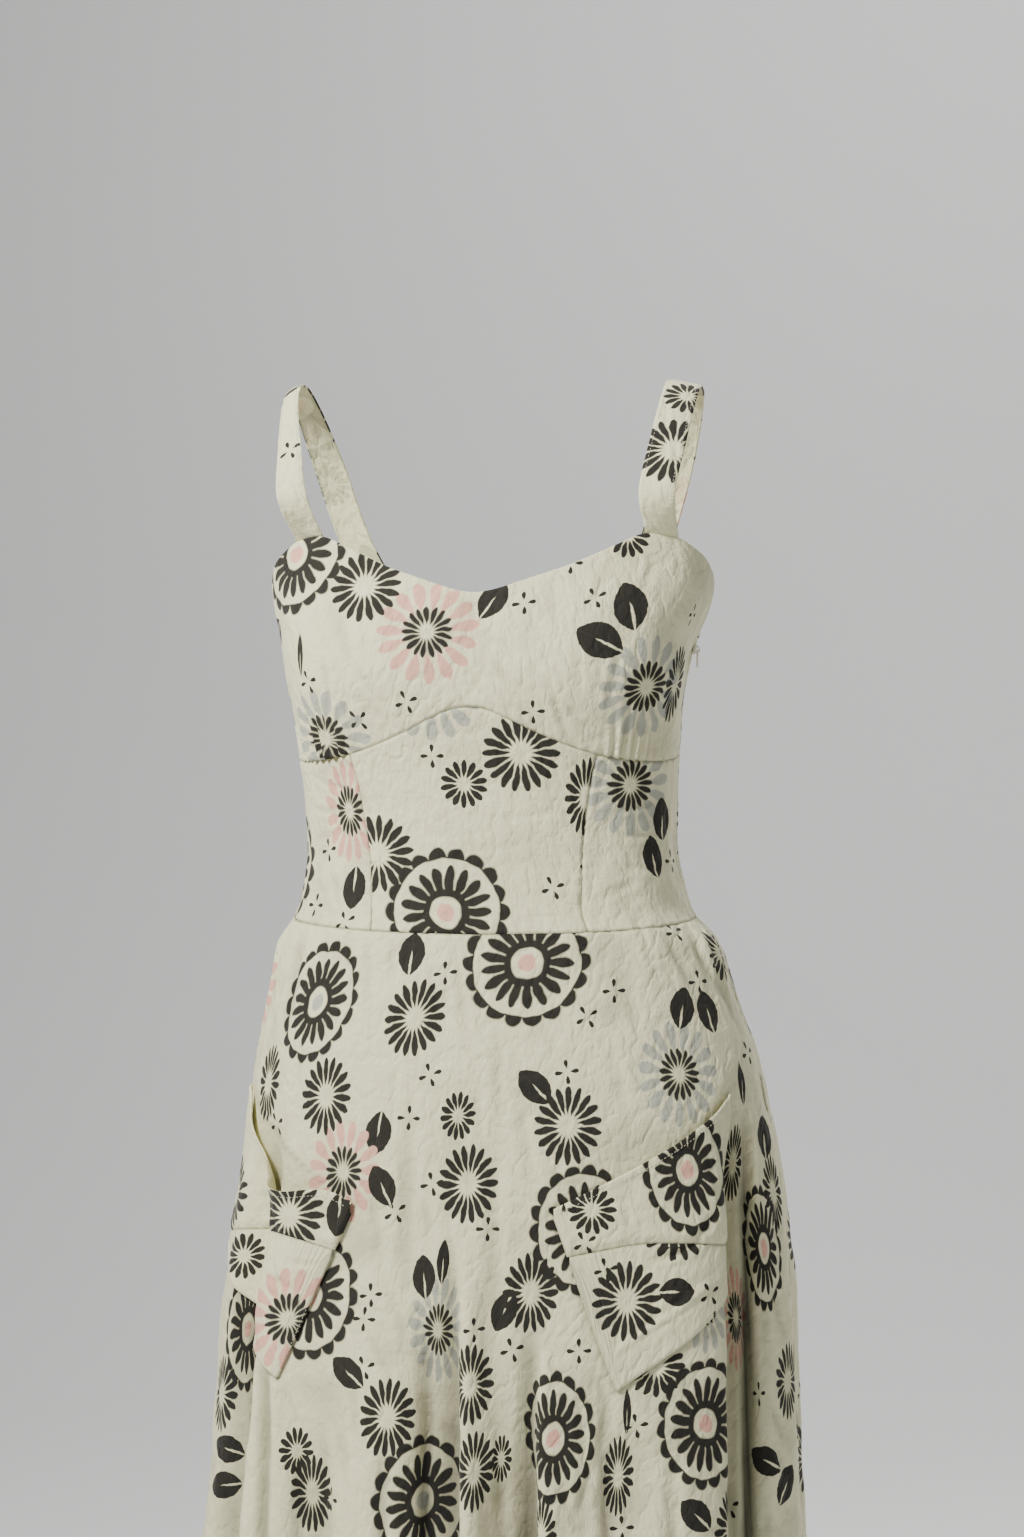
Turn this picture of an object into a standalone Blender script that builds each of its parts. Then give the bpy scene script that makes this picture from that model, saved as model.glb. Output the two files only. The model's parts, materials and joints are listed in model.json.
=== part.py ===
"""Strappy summer dress in its hollow worn form: gathered bust, panelled midriff, flared skirt
with two slanted patch pockets, shoulder straps and a short zip in the side seam.

Metres, +Z up. The front faces -Y and the wearer's left is +X. The origin lies midway between
the tops of the two straps. Tables are in millimetres and degrees. A turn is the angle round
the body from the centre front towards +X, so the left side seam is at 90 and the back at 180.
"""
import math

import bmesh
import bpy
from mathutils import Matrix, Vector

MM = 0.001

# Cloth and seams
CLOTH = 1.5
POCKET_CLOTH = 1.5
BAND_CLOTH = 2.6
STRAP_CLOTH = 2.2
SEAM = 0.3
DRESS_LENGTH = 1080.0

# Heights of the level edges
HEM = -DRESS_LENGTH

# The figure that the cloth stands round: half width, depth of front and of back,
# sideways lean of the section, and the skirt's turn about the figure
SECTION_COLUMNS = ("height", "half_width", "front", "back", "lean", "twist")
SECTIONS = (
    (-100, 168, 78, 98, 4, 0),
    (-130, 172, 84, 99, 5, 0),
    (-155, 172, 92, 99, 4, 0),
    (-175, 167, 98, 98, 3, 0),
    (-200, 157, 101, 96, 1, 0),
    (-242, 149, 100, 93, 0, 0),
    (-275, 147, 96, 90, 0, 0),
    (-320, 144, 92, 80, 1, 0),
    (-358, 143, 91, 74, 2, 0),
    (-381, 147, 93, 75, 3, 0),
    (-404, 153, 97, 80, 4, 0),
    (-425, 167, 102, 90, 8, -1),
    (-467, 180, 110, 106, 10, -3),
    (-511, 193, 117, 118, 13, -5),
    (-550, 199, 122, 127, 15, -6),
    (-592, 204, 127, 133, 16, -6.5),
    (-642, 211, 132, 138, 15, -6.5),
    (-704, 219, 137, 143, 12, -6.5),
    (-781, 223, 143, 147, 11, -6.5),
    (-858, 228, 149, 151, 9, -6.5),
    (-960, 237, 156, 157, 6, -6.5),
    (-1080, 248, 164, 165, 3, -6.5),
)
SQUARENESS = 2.3

# Edges and seams as heights at each turn, the same on both sides
FRONT_EDGE = (
    (0, -164.5), (5, -162), (13, -154), (22, -144.5), (31, -133), (40, -122), (43.5, -119.5),
    (49, -119.5), (55, -122.5), (64, -131), (73, -141), (80, -155), (85, -175), (90, -197),
)
BACK_EDGE = (
    (90, -197), (96, -194), (110, -186), (128, -176), (146, -170), (164, -172), (180, -174),
)
UNDERBUST = (
    (0, -249), (5, -251), (11, -258), (19, -268.5), (27, -277), (36, -284), (50, -289),
    (70, -289), (90, -285),
)
WAIST = (
    (0, -418), (30, -416), (60, -412), (90, -408), (130, -406), (180, -406),
)

# The seams between the midriff's centre and side panels: turn at each height
PANEL_SEAM = ((-280, 36.6), (-350, 33.4), (-418, 29.6))

# Fullness of the bust: turn, height, half widths of the swell in each direction, depth
BUST_SWELL = {"turn": 43.0, "height": -222.0, "across": 30.0, "up": 52.0, "depth": 15.0}

# Gathers at the underbust seam, above each side panel
GATHERS = {"first_turn": 38.5, "pitch": 3.5, "count": 8, "reach": 62.0, "depth": 2.1}

# Folds of the skirt: turn in the cloth, height where the fold starts and where it is full,
# half width and depth (a negative depth is a valley), and how far it wanders by the hem
FOLDS = (
    (66.5, -520, -640, 10, -24, -1),
    (86, -500, -640, 12, 5, 0),
    (47.5, -560, -700, 13, 5, 1),
    (35.5, -745, -850, 5, -5, -1),
    (23.5, -650, -830, 7, 7, -1),
    (14.5, -690, -870, 7, -13, 0),
    (5.5, -640, -820, 7, 6, 2),
    (-2.5, -640, -810, 7, -13, 3),
    (-13.5, -650, -830, 9, 6, 0),
    (-24.5, -730, -890, 8, -10, 0),
    (-36.5, -600, -760, 9, 7, 0),
    (-48.5, -540, -650, 9, -20, -1),
    (-86, -600, -760, 10, -5, 0),
    (-106, -480, -640, 13, 6, 0),
    (-124, -540, -700, 10, -16, 2),
    (-142, -560, -720, 12, 8, 0),
    (-160, -600, -760, 10, -14, -2),
    (-177, -560, -720, 11, 8, 0),
    (-194, -580, -740, 10, -15, 2),
    (-212, -560, -720, 12, 8, 0),
    (-231, -540, -700, 10, -17, -2),
    (-249, -500, -650, 12, 6, 0),
)

# Tucks that the skirt's waist takes up at each side
WAIST_TUCKS = {"turns": (70.0, 79.0, -72.0, -81.0), "across": 3.2, "depth": 4.0, "reach": 95.0}

# Corners of a slanted pocket on the skirt, in turns of the cloth and heights
POCKET = {
    "inner_top": (20.3, -617.0),
    "outer_top": (65.5, -536.0),
    "outer_low": (67.5, -660.0),
    "tip": (33.2, -748.0),
    "band_inner": -653.0,
    "band_middle": -641.0,
    "band_outer": -655.0,
}
POCKET_REST = 0.9
POCKET_EASE = 1.4
BAND_STANDOFF = 0.4

# Strap stations over the right shoulder and the left: how far out, forward (-) or back (+),
# height, width seen from above, and the roll of the strap about its own run
STRAP_FRONT_TURNS = (43.5, 55.0)
STRAP_BACK_TURNS = (152.0, 141.0)
STRAP_BOW = 1.2
STRAP_LEFT = (
    (137.5, -73.0, -90.0, 27.5, 4), (143.5, -54.0, -50.0, 27.5, 6), (149.0, -27.0, -14.0, 27.0, 8),
    (151.0, 0.0, -1.0, 27.0, 8), (149.0, 30.0, -13.0, 27.0, 8), (138.0, 62.0, -56.0, 27.0, 4),
    (121.0, 79.0, -112.0, 27.0, 0),
)
STRAP_RIGHT = (
    (139.5, -73.0, -90.0, 23.0, 8), (146.0, -54.0, -50.0, 20.0, 24), (151.5, -27.0, -14.0, 17.0, 38),
    (153.0, 0.0, -1.0, 17.0, 30), (150.0, 30.0, -13.0, 20.0, 16), (139.0, 62.0, -56.0, 25.0, 6),
    (122.0, 79.0, -112.0, 27.0, 0),
)

# Zip slider and its pull tab, at the top of the left side seam
ZIP = {
    "height": -203.5, "plate_length": 8.5, "plate_width": 6.4, "plate_thickness": 1.7,
    "eye_rise": 2.4, "eye_length": 3.2, "crown": 1.0, "crown_width": 1.8, "crown_length": 5.4,
    "tab_length": 13.5, "tab_width": 4.8, "tab_thickness": 1.1, "slot_width": 2.7,
    "slot_length": 3.9, "bar": 1.0, "standoff": 0.5,
}

# How far the cloth's seams are from the middle of the body, in front, at the sides and below
FRONT_RADIUS = 118.0
SIDE_RADIUS = 92.0
SKIRT_RADIUS = 130.0

# Spacing of the columns and rows of cloth: degrees, columns to a gather, and rows as parts of
# a panel's height from its foot, or as millimetres down from the waist for the skirt
BUST_STEP = 3.95
BACK_STEP = 6.5
COLUMN_STEP = 5.2
VALLEY_STEP = 3.1
VALLEY_DEPTH = 15.0
GATHER_STEPS = 4
MIDRIFF_COLUMNS = 14
MIDRIFF_ROWS = 8
POCKET_ROWS = 5
STRAP_STEPS = 4
BUST_ROWS = (0.0, 0.07, 0.17, 0.3, 0.45, 0.6, 0.75, 0.89, 1.0)
BACK_ROWS = (0.0, 0.09, 0.18, 0.28, 0.38, 0.5, 0.62, 0.74, 0.83, 0.9, 0.955, 1.0)
SKIRT_ROWS = (0, 10, 26, 55, 95, 140, 185, 225, 265, 310, 370, 445, 530, 610)

COTTON = (0.78, 0.75, 0.63)
ENAMEL = (0.74, 0.71, 0.60)


def smooth_rows(rows, key, column):
    """A column of a table at a key between its rows, on a smooth curve through them."""
    ordered = rows if rows[0][0] <= rows[-1][0] else rows[::-1]
    if key <= ordered[0][0]:
        return ordered[0][column]
    if key >= ordered[-1][0]:
        return ordered[-1][column]
    low = max(i for i in range(len(ordered) - 1) if ordered[i][0] <= key)
    high = low + 1

    def slope(i):
        before, after = max(i - 1, 0), min(i + 1, len(ordered) - 1)
        rise = ordered[after][column] - ordered[before][column]
        return rise / (ordered[after][0] - ordered[before][0])

    span = ordered[high][0] - ordered[low][0]
    part = (key - ordered[low][0]) / span
    start, end = ordered[low][column], ordered[high][column]
    return (start * (2 * part ** 3 - 3 * part ** 2 + 1)
            + slope(low) * span * (part ** 3 - 2 * part ** 2 + part)
            + end * (3 * part ** 2 - 2 * part ** 3)
            + slope(high) * span * (part ** 3 - part ** 2))


def section(height):
    """The figure's section at a height, as named values."""
    return {name: smooth_rows(SECTIONS, height, column)
            for column, name in enumerate(SECTION_COLUMNS)}


SECTION_MEMORY = {}


def section_at(height):
    """The section at a height, worked out once for each height."""
    if height not in SECTION_MEMORY:
        SECTION_MEMORY[height] = section(height)
    return SECTION_MEMORY[height]


def ease(part):
    """A smooth step from 0 to 1."""
    part = min(max(part, 0.0), 1.0)
    return part * part * (3.0 - 2.0 * part)


def round_turn(turn):
    """A turn brought between -180 and 180."""
    return (turn + 180.0) % 360.0 - 180.0


def edge_height(rows, turn):
    """Height of an edge or seam at a turn, the same on both sides."""
    return smooth_rows(rows, abs(round_turn(turn)), 1)


def hump(distance, across):
    """A rounded hump that falls to nothing at its half width."""
    if abs(distance) >= across:
        return 0.0
    return 0.5 + 0.5 * math.cos(math.pi * distance / across)


def bust_fullness(turn, height):
    """How far the gathered cups stand out."""
    side = (abs(turn) - BUST_SWELL["turn"]) / BUST_SWELL["across"]
    rise = (height - BUST_SWELL["height"]) / BUST_SWELL["up"]
    return BUST_SWELL["depth"] * math.exp(-side * side - rise * rise)


def gather_wave(turn, height):
    """The small ridges above the underbust seam."""
    start = GATHERS["first_turn"]
    end = start + GATHERS["pitch"] * GATHERS["count"]
    place = abs(turn)
    above = height - edge_height(UNDERBUST, turn)
    if not start < place < end or above > GATHERS["reach"]:
        return 0.0
    ridge = 0.5 - 0.5 * math.cos(2.0 * math.pi * (place - start) / GATHERS["pitch"])
    return GATHERS["depth"] * ridge * (1.0 - ease(above / GATHERS["reach"]))


def skirt_folds(cloth_turn, height):
    """Ridges and valleys of the skirt at a turn of its own cloth."""
    total = 0.0
    for turn, top, full, across, depth, drift in FOLDS:
        strength = ease((top - height) / (top - full))
        if strength > 0.0:
            middle = turn + drift * (top - height) / (top - HEM)
            total += depth * strength * hump(round_turn(cloth_turn - middle), across)
    below = (edge_height(WAIST, cloth_turn) - height) / WAIST_TUCKS["reach"]
    if 0.0 < below < 1.0:
        strength = ease(below * 5.0) * (1.0 - ease(below))
        for turn in WAIST_TUCKS["turns"]:
            tuck = hump(round_turn(cloth_turn - turn), WAIST_TUCKS["across"])
            total += WAIST_TUCKS["depth"] * strength * tuck
    return total


def plain_point(turn, height):
    """A point of the figure's section, with the outward direction level with the ground."""
    at = section_at(height)
    side, ahead = math.sin(math.radians(turn)), math.cos(math.radians(turn))
    depth = at["front"] if ahead > 0.0 else at["back"]
    reach = (abs(side) ** SQUARENESS + abs(ahead) ** SQUARENESS) ** (-1.0 / SQUARENESS)
    return Vector((at["lean"] + at["half_width"] * reach * side, -depth * reach * ahead, height))


def bodice_point(turn, height):
    """A point of the bodice's outer face before it gets its level outward direction."""
    plain = plain_point(turn, height)
    ahead = math.cos(math.radians(turn))
    if ahead <= 0.0:
        return plain
    outward = Vector((plain.x, plain.y, 0.0)).normalized()
    swell = bust_fullness(turn, height) * ease(ahead * 3.0)
    return plain + outward * (swell + gather_wave(turn, height))


def skirt_point(cloth_turn, height):
    """A point of the skirt's outer face; the cloth is turned a little about the figure."""
    plain = plain_point(cloth_turn + section_at(height)["twist"], height)
    centre = Vector((section_at(height)["lean"], 0.0, 0.0))
    outward = plain - centre
    outward.z = 0.0
    return plain + outward.normalized() * skirt_folds(cloth_turn, height)


def outward_at(point_of, turn, height):
    """Level direction out of the cloth at a point."""
    step = 0.15
    along = point_of(turn + step, height) - point_of(turn - step, height)
    return Vector((along.y, -along.x, 0.0)).normalized()


def shell_point(point_of, turn, height, standoff):
    """A point moved out of the cloth's face, or into it where the standoff is negative."""
    return point_of(turn, height) + outward_at(point_of, turn, height) * standoff


def cotton(name, colour, roughness=0.9, metallic=0.0):
    """A piece's own plain material."""
    material = bpy.data.materials.new(name)
    material.use_nodes = True
    shader = material.node_tree.nodes["Principled BSDF"]
    shader.inputs["Base Color"].default_value = (*colour, 1.0)
    shader.inputs["Roughness"].default_value = roughness
    shader.inputs["Metallic"].default_value = metallic
    return material


def finish(name, mesh_data, colour=COTTON, roughness=0.9, metallic=0.0):
    """Put a closed mesh in millimetres into the scene as one named piece."""
    bmesh.ops.recalc_face_normals(mesh_data, faces=mesh_data.faces[:])
    bmesh.ops.scale(mesh_data, vec=(MM, MM, MM), verts=mesh_data.verts[:])
    mesh = bpy.data.meshes.new(name)
    mesh_data.to_mesh(mesh)
    mesh_data.free()
    mesh.shade_smooth()
    mesh.set_sharp_from_angle(angle=math.radians(50))
    mesh.materials.append(cotton(name, colour, roughness, metallic))
    piece = bpy.data.objects.new(name, mesh)
    bpy.context.collection.objects.link(piece)
    return piece


def cloth_panel(name, columns, rows, place):
    """A wall of cloth: place(column, row, inner) gives its points, outer face first."""
    across, up = len(columns) - 1, len(rows) - 1
    panel = bmesh.new()
    bmesh.ops.create_grid(panel, x_segments=across, y_segments=up, size=1.0)
    address = {v: (round((v.co.x + 1.0) / 2.0 * across), round((v.co.y + 1.0) / 2.0 * up))
               for v in panel.verts}
    outer_faces = panel.faces[:]
    made = bmesh.ops.extrude_face_region(panel, geom=outer_faces, use_keep_orig=True)
    inner = [item for item in made["geom"] if isinstance(item, bmesh.types.BMVert)]
    for vertex in inner:
        i = round((vertex.co.x + 1.0) / 2.0 * across)
        j = round((vertex.co.y + 1.0) / 2.0 * up)
        vertex.co = place(columns[i], rows[j], True)
    for vertex, (i, j) in address.items():
        vertex.co = place(columns[i], rows[j], False)
    return finish(name, panel)


def spread(stops, step_at):
    """Positions from stop to stop, no further apart than step_at allows between them."""
    positions = [stops[0]]
    for low, high in zip(stops, stops[1:]):
        step = min(step_at(low), step_at((low + high) / 2.0), step_at(high))
        count = max(1, math.ceil((high - low) / step))
        positions += [low + (high - low) * i / count for i in range(1, count + 1)]
    return positions


def seam_gap(radius):
    """Half of a seam's gap as degrees about the body, where the cloth is that far out."""
    return math.degrees(SEAM / 2.0 / radius)


def bust_front():
    """The bust, one piece, gathered into the underbust seam on each side."""
    first = GATHERS["first_turn"]
    last = first + GATHERS["pitch"] * GATHERS["count"]
    side = 90.0 - seam_gap(SIDE_RADIUS)
    gathered = [first + GATHERS["pitch"] * i / GATHER_STEPS
                for i in range(GATHERS["count"] * GATHER_STEPS + 1)]
    seam = PANEL_SEAM[0][1]
    middle = [seam * 2 * i / MIDRIFF_COLUMNS for i in range(MIDRIFF_COLUMNS // 2 + 1)]
    half = middle + gathered + spread([last, side], lambda turn: BUST_STEP)[1:]
    columns = [-turn for turn in reversed(half[1:])] + half

    def place(turn, part, inner):
        low = edge_height(UNDERBUST, turn) + SEAM / 2.0
        high = edge_height(FRONT_EDGE, turn)
        height = low + (high - low) * part
        return shell_point(bodice_point, turn, height, -CLOTH if inner else 0.0)

    return cloth_panel("bust_front", columns, BUST_ROWS, place)


def midriff(name, side):
    """A midriff panel: the centre one (side 0), or one of the two side ones (1 or -1)."""
    rows = spread([0.0, 1.0], lambda part: 1.0 / MIDRIFF_ROWS)
    columns = spread([0.0, 1.0], lambda part: 1.0 / MIDRIFF_COLUMNS)
    foot, head = PANEL_SEAM[-1][0], PANEL_SEAM[0][0]
    front_gap = seam_gap(FRONT_RADIUS)
    outer = 90.0 - seam_gap(SIDE_RADIUS)

    def place(across, part, inner):
        seam = smooth_rows(PANEL_SEAM, foot + (head - foot) * part, 1)
        if side == 0:
            turn = (seam - front_gap) * (2.0 * across - 1.0)
        else:
            turn = side * (seam + front_gap + (outer - seam - front_gap) * across)
        low = edge_height(WAIST, turn) + SEAM / 2.0
        high = edge_height(UNDERBUST, turn) - SEAM / 2.0
        height = low + (high - low) * part
        return shell_point(midriff_point, turn, height, -CLOTH if inner else 0.0)

    return cloth_panel(name, columns, rows, place)


def midriff_point(turn, height):
    """A point of the midriff: the bodice without the gathers above its seam."""
    plain = plain_point(turn, height)
    ahead = math.cos(math.radians(turn))
    if ahead <= 0.0:
        return plain
    outward = Vector((plain.x, plain.y, 0.0)).normalized()
    return plain + outward * bust_fullness(turn, height) * ease(ahead * 3.0)


def bodice_back():
    """The back of the bodice, one plain piece from its top edge to the waist."""
    gap = seam_gap(SIDE_RADIUS)
    columns = spread([90.0 + gap, 270.0 - gap], lambda turn: BACK_STEP)

    def place(turn, part, inner):
        low = edge_height(WAIST, turn) + SEAM / 2.0
        high = edge_height(BACK_EDGE, turn)
        height = low + (high - low) * part
        return shell_point(plain_point, turn, height, -CLOTH if inner else 0.0)

    return cloth_panel("bodice_back", columns, BACK_ROWS, place)


def skirt_step(turn):
    """Spacing of the skirt's columns near a turn: closer in the deep valleys."""
    for middle, top, full, across, depth, drift in FOLDS:
        if depth <= -VALLEY_DEPTH and abs(round_turn(turn - middle)) <= across + 1.0:
            return VALLEY_STEP
    return COLUMN_STEP


def skirt_stops(low, high, extra=()):
    """Turns that the skirt's columns must take: its ends, the folds and the pockets."""
    stops = {low, high, *extra}
    for middle, top, full, across, depth, drift in FOLDS:
        for turn in (middle - across, middle, middle + across):
            for whole in (turn, turn + 360.0):
                if low + 1.5 < whole < high - 1.5:
                    stops.add(float(whole))
    kept = []
    for turn in sorted(stops):
        if kept and turn - kept[-1] < 1.2:
            if turn in extra or turn == high:
                kept[-1] = turn
            continue
        kept.append(turn)
    return kept


def pocket_stops():
    """Turns of one pocket's corners, from its inner corner out."""
    return (POCKET["inner_top"][0] + 0.7, POCKET["tip"][0], POCKET["outer_top"][0],
            POCKET["outer_low"][0] - 0.7)


def skirt_columns():
    """Columns of the front of the skirt, which the pockets share."""
    corners = [side * turn for side in (-1.0, 1.0) for turn in pocket_stops()]
    gap = seam_gap(SKIRT_RADIUS)
    return spread(skirt_stops(-90.0 + gap, 90.0 - gap, tuple(corners)), skirt_step)


def skirt(name, columns):
    """One half of the skirt, from the hem up to the waist seam."""
    def place(turn, length, inner):
        top = edge_height(WAIST, turn) - SEAM / 2.0
        height = top + (HEM - top) * length / SKIRT_ROWS[-1]
        return shell_point(skirt_point, turn, height, -CLOTH if inner else 0.0)

    return cloth_panel(name, columns, SKIRT_ROWS[::-1], place)


def line_height(start, end, turn):
    """Height at a turn on the straight line between two corners."""
    return start[1] + (end[1] - start[1]) * (turn - start[0]) / (end[0] - start[0])


def pocket_top(turn):
    """Upper outline of a pocket: its mouth, then its outer edge."""
    if turn <= POCKET["outer_top"][0]:
        return line_height(POCKET["inner_top"], POCKET["outer_top"], turn)
    return line_height(POCKET["outer_top"], POCKET["outer_low"], turn)


def pocket_foot(turn):
    """Lower outline of a pocket: its inner edge, then its bottom edge."""
    if turn <= POCKET["tip"][0]:
        return line_height(POCKET["inner_top"], POCKET["tip"], turn)
    return line_height(POCKET["tip"], POCKET["outer_low"], turn)


def band_seam(turn):
    """The seam between a pocket's mouth band and its bag."""
    rows = ((20.0, POCKET["band_inner"]), (42.0, POCKET["band_middle"]),
            (80.0, POCKET["band_outer"]))
    return smooth_rows(rows, turn, 1)


def pocket_ease(turn, height):
    """How far a pocket stands off the skirt: close at its sewn edges, looser within."""
    to_foot = (height - pocket_foot(turn)) / 40.0
    from_inner = (turn - POCKET["inner_top"][0]) / 12.0
    from_outer = (POCKET["outer_low"][0] - turn) / 12.0
    near = min(max(min(to_foot, from_inner, from_outer), 0.0), 1.0)
    return POCKET_REST + POCKET_EASE * ease(near)


def pocket_piece(name, side, columns, low_of, high_of, thickness, standoff):
    """A pocket's bag or band, laid over the skirt on the skirt's own columns."""
    rows = spread([0.0, 1.0], lambda part: 1.0 / POCKET_ROWS)

    def place(turn, part, inner):
        low, high = low_of(turn), high_of(turn)
        height = low + (high - low) * part
        lift = pocket_ease(turn, height) + standoff
        return shell_point(skirt_point, side * turn, height, lift if inner else lift + thickness)

    return cloth_panel(name, columns, rows, place)


def pocket(side, word):
    """Both pieces of one pocket."""
    gap = SEAM / 2.0
    first, last = pocket_stops()[0], pocket_stops()[-1]
    turns = [abs(turn) for turn in skirt_columns() if turn * side > 0]
    turns = sorted(turn for turn in turns if first - 0.01 <= turn <= last + 0.01)

    def bag_top(turn):
        return min(band_seam(turn) - gap, pocket_top(turn))

    def band_foot(turn):
        return max(band_seam(turn) + gap, pocket_foot(turn))

    bag_turns = [turn for turn in turns if bag_top(turn) - pocket_foot(turn) > 3.0]
    band_turns = [turn for turn in turns if pocket_top(turn) - band_foot(turn) > 3.0]
    pocket_piece(f"pocket_bag_{word}", side, bag_turns, pocket_foot, bag_top,
                 POCKET_CLOTH, 0.0)
    pocket_piece(f"pocket_band_{word}", side, band_turns, band_foot, pocket_top,
                 BAND_CLOTH, BAND_STANDOFF)


def smooth_path(points, count):
    """Points along a smooth curve through the given ones, count to each stretch."""
    padded = [points[0] * 2.0 - points[1], *points, points[-1] * 2.0 - points[-2]]
    path = []
    for before, start, end, after in zip(padded, padded[1:], padded[2:], padded[3:]):
        for i in range(count):
            t = i / count
            path.append(0.5 * (2.0 * start + (end - before) * t
                               + (2.0 * before - 5.0 * start + 4.0 * end - after) * t * t
                               + (3.0 * start - before - 3.0 * end + after) * t ** 3))
    path.append(points[-1].copy())
    return path


def strap(name, side, stations):
    """A shoulder strap from the bust's top edge over the shoulder to the back's top edge."""
    def seat(point_of, rows, turns, across):
        turn = turns[0] + (turns[1] - turns[0]) * across
        height = edge_height(rows, turn) + SEAM
        return point_of(side * turn, height)

    neck_side = [seat(bodice_point, FRONT_EDGE, STRAP_FRONT_TURNS, 0.0)]
    arm_side = [seat(bodice_point, FRONT_EDGE, STRAP_FRONT_TURNS, 1.0)]
    for out, along, height, width, roll in stations:
        middle = Vector((side * out, along, height))
        tilt = math.radians(roll)
        half = Vector((side * math.cos(tilt), 0.0, -math.sin(tilt))) * width / 2.0
        neck_side.append(middle - half)
        arm_side.append(middle + half)
    neck_side.append(seat(plain_point, BACK_EDGE, STRAP_BACK_TURNS, 0.0))
    arm_side.append(seat(plain_point, BACK_EDGE, STRAP_BACK_TURNS, 1.0))
    neck_path = smooth_path(neck_side, STRAP_STEPS)
    arm_path = smooth_path(arm_side, STRAP_STEPS)
    rows = list(range(len(neck_path)))
    columns = [0.0, 0.25, 0.5, 0.75, 1.0]

    def place(across, row, inner):
        here = neck_path[row].lerp(arm_path[row], across)
        ahead, behind = min(row + 1, rows[-1]), max(row - 1, 0)
        run = (neck_path[ahead] + arm_path[ahead]) - (neck_path[behind] + arm_path[behind])
        width = arm_path[row] - neck_path[row]
        out = width.cross(run).normalized() * side
        if row == 0:
            here = seat(bodice_point, FRONT_EDGE, STRAP_FRONT_TURNS, across)
        if row == rows[-1]:
            here = seat(plain_point, BACK_EDGE, STRAP_BACK_TURNS, across)
        if row in (0, rows[-1]):
            out.z = 0.0
            out.normalize()
            return here - out * (STRAP_CLOTH if inner else 0.0)
        bow = STRAP_BOW * (1.0 - (2.0 * across - 1.0) ** 2)
        return here + out * (bow - STRAP_CLOTH if inner else bow)

    return cloth_panel(name, columns, rows, place)


def zip_frame():
    """Where the slider sits: its origin on the cloth and its outward and upward directions."""
    height = ZIP["height"]
    seat = plain_point(90.0, height)
    above = plain_point(90.0, height + 3.0)
    below = plain_point(90.0, height - 3.0)
    up = (above - below).normalized()
    back = Vector((0.0, 1.0, 0.0))
    out = back.cross(up).normalized()
    return seat, out, up, back


def block(low, high, bevel_width=0.0):
    """A box between two corners with its edges rounded."""
    body = bmesh.new()
    size = Vector(high) - Vector(low)
    middle = (Vector(high) + Vector(low)) / 2.0
    matrix = Matrix.Translation(middle) @ Matrix.Diagonal((*size, 1.0))
    bmesh.ops.create_cube(body, size=1.0, matrix=matrix)
    if bevel_width:
        bmesh.ops.bevel(body, geom=body.edges[:], offset=bevel_width, affect="EDGES",
                        segments=2, profile=0.5, material=-1)
    return body


def arch(length, rise, crown, width, foot):
    """The slider's crown: an arch over its eye, with feet sunk into the plate."""
    body = bmesh.new()
    outer_half, inner_half = length / 2.0, ZIP["eye_length"] / 2.0
    steps = 6
    outline = [(-outer_half, -foot), (-outer_half, rise * 0.4)]
    for i in range(1, steps):
        angle = math.pi * (1.0 - i / steps)
        outline.append((outer_half * math.cos(angle), rise * 0.4 + (rise * 0.6 + crown)
                        * math.sin(angle)))
    outline += [(outer_half, rise * 0.4), (outer_half, -foot), (inner_half, -foot)]
    outline += [(inner_half, rise * 0.75), (inner_half - 0.5, rise)]
    outline += [(-inner_half + 0.5, rise), (-inner_half, rise * 0.75), (-inner_half, -foot)]
    corners = [body.verts.new((-width / 2.0, along, up)) for along, up in outline]
    face = body.faces.new(corners)
    made = bmesh.ops.extrude_face_region(body, geom=[face], use_keep_orig=True)
    moved = [item for item in made["geom"] if isinstance(item, bmesh.types.BMVert)]
    bmesh.ops.translate(body, verts=moved, vec=(width, 0.0, 0.0))
    bmesh.ops.recalc_face_normals(body, faces=body.faces[:])
    return body


def placed(name, body, matrix, colour, roughness, metallic):
    """Finish a body modelled on its own axes and put it where it belongs."""
    bmesh.ops.transform(body, matrix=matrix, verts=body.verts[:])
    return finish(name, body, colour, roughness, metallic)


def cut_or_join(target, tool, operation):
    """Apply a boolean of one object on another and drop the tool."""
    modifier = target.modifiers.new(operation.lower(), "BOOLEAN")
    modifier.operation = operation
    modifier.object = tool
    modifier.solver = "EXACT"
    bpy.context.view_layer.update()
    graph = bpy.context.evaluated_depsgraph_get()
    result = bpy.data.meshes.new_from_object(target.evaluated_get(graph))
    target.modifiers.clear()
    target.data = result
    bpy.data.objects.remove(tool)


def zip_slider():
    """The slider: a plate on the seam with an arched crown that holds the pull tab."""
    seat, out, up, back = zip_frame()
    axes = Matrix((back, up, out)).transposed().to_4x4()
    matrix = Matrix.Translation(seat) @ axes
    half_width, half_length = ZIP["plate_width"] / 2.0, ZIP["plate_length"] / 2.0
    foot = ZIP["standoff"]
    top = foot + ZIP["plate_thickness"]
    plate = block((-half_width, -half_length, foot), (half_width, half_length, top), 0.5)
    crown = arch(ZIP["crown_length"], ZIP["eye_rise"], ZIP["crown"], ZIP["crown_width"], 0.8)
    bmesh.ops.translate(crown, verts=crown.verts[:], vec=(0.0, 0.0, top))
    slider = placed("zip_slider", plate, matrix, ENAMEL, 0.35, 0.2)
    loop = placed("zip_crown", crown, matrix, ENAMEL, 0.35, 0.2)
    cut_or_join(slider, loop, "UNION")


def pull_pivot():
    """Centre of the bar that the pull tab turns on."""
    seat, out, up, back = zip_frame()
    return seat + out * (ZIP["standoff"] + ZIP["plate_thickness"] + ZIP["eye_rise"] / 2.0)


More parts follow.
